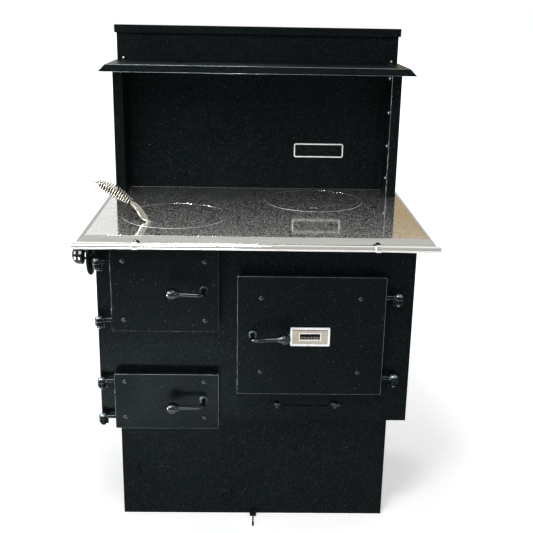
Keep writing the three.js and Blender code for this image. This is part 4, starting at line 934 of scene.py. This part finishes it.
def slab(name, outline, y_front, y_back, material, edge=0.0):
    """A flat plate that faces -Y."""
    shape = bmesh.new()
    front = [shape.verts.new((x, y_front, z)) for x, z in outline]
    back = [shape.verts.new((x, y_back, z)) for x, z in outline]
    shape.faces.new(front)
    shape.faces.new(list(reversed(back)))
    for k in range(len(outline)):
        n = (k + 1) % len(outline)
        shape.faces.new([front[k], back[k], back[n], front[n]])
    mesh = closed_mesh(name, shape)
    piece = new_piece(name, mesh, material)
    if edge:
        bevel = piece.modifiers.new("edge", "BEVEL")
        bevel.width = edge
        bevel.segments = 2
        bevel.angle_limit = math.radians(40)
        apply_modifiers(piece)
    return smooth(piece, 30)


def frame_ring(name, u0, u1, v0, v1, radius, wide, y_front, y_back, material):
    """A flat ring with round corners that faces -Y, such as a border."""
    outer = rounded_outline(u0, u1, v0, v1, radius)
    inner = rounded_outline(u0 + wide, u1 - wide, v0 + wide, v1 - wide, max(radius - wide, 0.3 * MM))
    shape = bmesh.new()
    loops = [[shape.verts.new((x, y, z)) for x, z in line]
             for line, y in ((outer, y_front), (inner, y_front), (inner, y_back), (outer, y_back))]
    count = len(outer)
    for a, b in zip(loops, loops[1:] + loops[:1]):
        for k in range(count):
            n = (k + 1) % count
            shape.faces.new([a[k], a[n], b[n], b[k]])
    mesh = closed_mesh(name, shape)
    return smooth(new_piece(name, mesh, material), 30)


def badge():
    x0, x1, z0, z1 = 123.5 * MM, 293.5 * MM, 1020 * MM, 1071 * MM
    plate = slab("badge_field", rounded_outline(x0, x1, z0, z1, 8 * MM), SPLASH_FACE - 1.2 * MM,
                 SPLASH_FACE + 0.3 * MM, badge_finish)
    settle(plate, "stove", "black_gloss")
    inset = 2.2 * MM
    border = frame_ring("badge_border", x0 + inset, x1 - inset, z0 + inset, z1 - inset, 6.5 * MM,
                        4.0 * MM, SPLASH_FACE - 1.8 * MM, SPLASH_FACE - 0.9 * MM, silver_finish)
    settle(border, "stove", "stainless")


badge()


def column_screws():
    """Screws down the inner web of each splash column, plated on the right; those on the left are black,
    painted shade for the left web, which the light does not reach.
    """
    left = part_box("splash_column_left")[1].x
    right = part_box("splash_column_right")[0].x
    places = ((1293, 226), (1184, 220), (1078, 214), (973, 208))
    plated = [(Vector((right, y * MM, z * MM)), (-1, 0, 0)) for z, y in places]
    painted = [(Vector((left, y * MM, z * MM)), (1, 0, 0)) for z, y in places]
    heads("column_screws_right", plated, SCREW_RADIUS, SCREW_HEIGHT, silver_finish, "stove", "stainless")
    # Painted shade: the left column's screws are given the black paint.
    heads("column_screws_left", painted, SCREW_RADIUS, SCREW_HEIGHT, finishes["black_paint"], "stove",
          "black_paint")


def shelf_screws():
    """Two small plated screws through the splash back over the shelf's rear corners."""
    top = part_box("warming_shelf")[1].z
    places = [(Vector((x * MM, SPLASH_FACE, top + 6 * MM)), (0, -1, 0)) for x in (-437, 437)]
    heads("shelf_screws", places, 3.2 * MM, 1.6 * MM, silver_finish, "stove", "stainless")


column_screws()
shelf_screws()


# ---------------------------------------------------------------- thermometer face
METER_LOW, METER_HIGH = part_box("thermometer_bezel")
METER_X = (METER_LOW.x + METER_HIGH.x) / 2
METER_Z = (METER_LOW.z + METER_HIGH.z) / 2
METER_RIM = 5.5 * MM
METER_DISH = 1.6 * MM


def meter_face():
    """Blank scale of plain blocks under a black band of painted shade, seen through the window from a
    little above.
    """
    scale_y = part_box("thermometer_dial")[1].y - 2 * MM
    front, back = scale_y - 0.3 * MM, scale_y + 0.2 * MM
    cell = 8.4 * MM
    low, high = METER_Z - 10.6 * MM, METER_Z - 5.4 * MM

    def block(name, x0, x1, z0, z1, finish):
        return slab(name, [(x0, z0), (x1, z0), (x1, z1), (x0, z1)], front, back, finish)

    rows = []
    for k in range(-3, 4):
        middle = METER_X + k * cell
        rows.append(block("scale_mark", middle - 2.1 * MM, middle + 2.1 * MM, low, high, ink_finish))
    rows.append(block("scale_line", METER_X - 31 * MM, METER_X + 31 * MM, METER_Z - 13.4 * MM,
                      METER_Z - 12.4 * MM, ink_finish))
    # Painted shade: the black band stands for the shade in the top of the recessed window.
    rows.append(block("window_shade_band", METER_X - 33 * MM, METER_X + 33 * MM, METER_Z - 4.2 * MM,
                      METER_Z + 12 * MM, shade_black_finish))
    settle(joined("thermometer_scale", rows), "oven_door", "black_gloss")
    plate_y = METER_LOW.y + METER_DISH
    left, right = METER_LOW.x + METER_RIM, METER_HIGH.x - METER_RIM
    top = METER_HIGH.z - METER_RIM
    bottom = top - 2.4 * MM
    # Painted shadow: a black strip along the top of the sunk face plate, where the rim shadows it.
    rim_shadow = slab("meter_rim_shadow", [(left, bottom), (right, bottom), (right, top), (left, top)],
                 plate_y - 0.3 * MM, plate_y + 0.2 * MM, shade_black_finish)
    settle(rim_shadow, "oven_door", "black_gloss")


def meter_frame():
    """The bezel with its rim bright and its sunk face plate in cream."""
    mesh = eased("thermometer_bezel", 0.5 * MM, 2).data
    mesh.materials[0] = silver_finish
    half_x = (METER_HIGH.x - METER_LOW.x) / 2 - METER_RIM - 0.1 * MM
    half_z = (METER_HIGH.z - METER_LOW.z) / 2 - METER_RIM
    sunk_y = METER_LOW.y + METER_DISH - 0.2 * MM

    def on_plate(face):
        inside = abs(face.center.x - METER_X) < half_x and abs(face.center.z - METER_Z) < half_z
        return inside and face.normal.y < -0.9 and face.center.y > sunk_y

    recolour(mesh, finishes["dial_face"], on_plate)


meter_frame()
meter_face()


# ---------------------------------------------------------------- camera
PHOTO_SIDE = 533
FOCAL_PIXELS = 858.314
SENSOR = 36.0
CAMERA_PLACE = Vector((-18.15, -2577.69, 1525.94)) * MM
CAMERA_YAW = 0.020378
CAMERA_PITCH = 0.300661
CAMERA_ROLL = -0.017551


def camera():
    forward = Vector((math.sin(CAMERA_YAW) * math.cos(CAMERA_PITCH),
                      math.cos(CAMERA_YAW) * math.cos(CAMERA_PITCH), -math.sin(CAMERA_PITCH)))
    level = Vector((math.cos(CAMERA_YAW), -math.sin(CAMERA_YAW), 0))
    down = forward.cross(level)
    right = level * math.cos(CAMERA_ROLL) + down * math.sin(CAMERA_ROLL)
    below = down * math.cos(CAMERA_ROLL) - level * math.sin(CAMERA_ROLL)
    turn = Matrix((right, -below, -forward)).transposed()
    eye = bpy.data.cameras.new("photo_camera")
    eye.sensor_fit = "HORIZONTAL"
    eye.sensor_width = SENSOR
    eye.lens = FOCAL_PIXELS / PHOTO_SIDE * SENSOR
    eye.clip_end = 100
    holder = bpy.data.objects.new("photo_camera", eye)
    holder.matrix_world = Matrix.Translation(CAMERA_PLACE) @ turn.to_4x4()
    bpy.context.scene.collection.objects.link(holder)
    bpy.context.scene.camera = holder


camera()


# ---------------------------------------------------------------- studio
def pale_floor():
    """A white sweep: it keeps the stove's shadow and fades to the white background away from it."""
    side = 40.0
    z = -0.4 * MM
    mesh = bpy.data.meshes.new("floor")
    mesh.from_pydata([(-side, -side, z), (side, -side, z), (side, side, z), (-side, side, z)], [],
                     [(0, 1, 2, 3)])
    finish = Finish("pale_floor", Specular_IOR_Level=0.0, Roughness=1.0, Emission_Color=(1, 1, 1, 1))
    finish.set("Base Color", finish.ramp(finish.noise(1.5, 3.0), (0.3, (0.86, 0.86, 0.86)),
                                         (0.7, (0.9, 0.9, 0.9))))
    distance = finish.maths("LENGTH", finish.place, kind="ShaderNodeVectorMath")
    ray = finish.nodes.new("ShaderNodeLightPath").outputs
    glows = []
    for seen, far in (("Is Camera Ray", 1.0), ("Is Glossy Ray", 0.0)):
        glow = finish.spread(distance, FLOOR_GLOW_NEAR, far, *FLOOR_FADE)
        glows.append(finish.maths("MULTIPLY", glow, ray[seen]))
    finish.set("Emission Strength", finish.maths("ADD", *glows))
    floor = new_piece("floor", mesh, finish.material)


def studio_world():
    """White to the camera, soft as a light, and to reflections the room round the stove."""
    world = bpy.data.worlds.new("studio")
    bpy.context.scene.world = world
    world.use_nodes = True
    room = Nodes(world.node_tree)
    background = room.nodes["Background"]
    ray = room.nodes.new("ShaderNodeLightPath").outputs
    sky = room.nodes.new("ShaderNodeTexCoord").outputs["Generated"]
    ahead = room.maths("DOT_PRODUCT", sky, ROOM_AHEAD, kind="ShaderNodeVectorMath")
    mirrored = room.spread(ahead, 1.0, ROOM_LEVEL, *ROOM_AHEAD_EDGE)
    behind = room.maths("DOT_PRODUCT", sky, WARM_WALL, kind="ShaderNodeVectorMath")
    warm = room.maths("MULTIPLY", room.spread(behind, 0.0, 1.0, *WARM_WALL_EDGE), ray["Is Glossy Ray"])
    room.join(room.mix(warm, (1.0, 1.0, 1.0), WARM_COLOUR), background.inputs["Color"])
    level = WORLD_LIGHT
    for seen, strength in (("Is Glossy Ray", mirrored), ("Is Camera Ray", 1.0)):
        choose = room.nodes.new("ShaderNodeMix")
        for socket, value in (("Factor", ray[seen]), ("A", level), ("B", strength)):
            room.join(value, choose.inputs[socket])
        level = choose.outputs["Result"]
    room.join(level, background.inputs["Strength"])


def soft_box(name, place, target, width, height, power, mirrored_only=False):
    """A rectangular lamp; one that is mirrored only puts glints on what shines and lights nothing."""
    light = bpy.data.lights.new(name, "AREA")
    light.shape = "RECTANGLE"
    light.size = width
    light.size_y = height
    light.energy = power
    holder = bpy.data.objects.new(name, light)
    way = Vector(target) - Vector(place)
    holder.matrix_world = Matrix.Translation(place) @ way.to_track_quat("-Z", "Y").to_matrix().to_4x4()
    bpy.context.scene.collection.objects.link(holder)
    holder.visible_camera = False
    holder.visible_diffuse = not mirrored_only


pale_floor()
studio_world()
for lamp in (
        ("low_front_light", (-0.42, -1.15, 0.06), (-0.2, -0.3, 0.6), 0.7, 0.2, 5),
        ("key_light", (-0.8, -1.9, 2.5), (0, 0, 0.8), 0.85, 0.85, 26),
        ("overhead_light", (-0.1, -1.5, 2.9), (0, 0, 0.9), 0.3, 0.3, 13),
        ("left_light", (-2.4, -2.4, 1.5), (0, 0, 0.8), 0.35, 0.35, 8),
        ("left_glint", (-2.5, -0.9, 1.85), (-0.2, -0.38, 0.6), 1.4, 1.2, 95, True),
        ("low_left_glint", (-1.9, -0.35, 0.25), (-0.43, -0.35, 0.6), 0.6, 0.5, 45, True),
        ("front_glint", (-1.4, -2.3, 2.6), (-0.1, -0.4, 0.6), 0.4, 0.4, 40, True),
        ("right_light", (2.5, -2.0, 1.2), (0, 0, 0.6), 0.35, 0.35, 7),
        ("top_light", (-0.4, 1.6, 3.0), (0, 0, 1.0), 0.8, 0.5, 16)):
    soft_box(*lamp)

bpy.context.scene.view_settings.view_transform = "Standard"
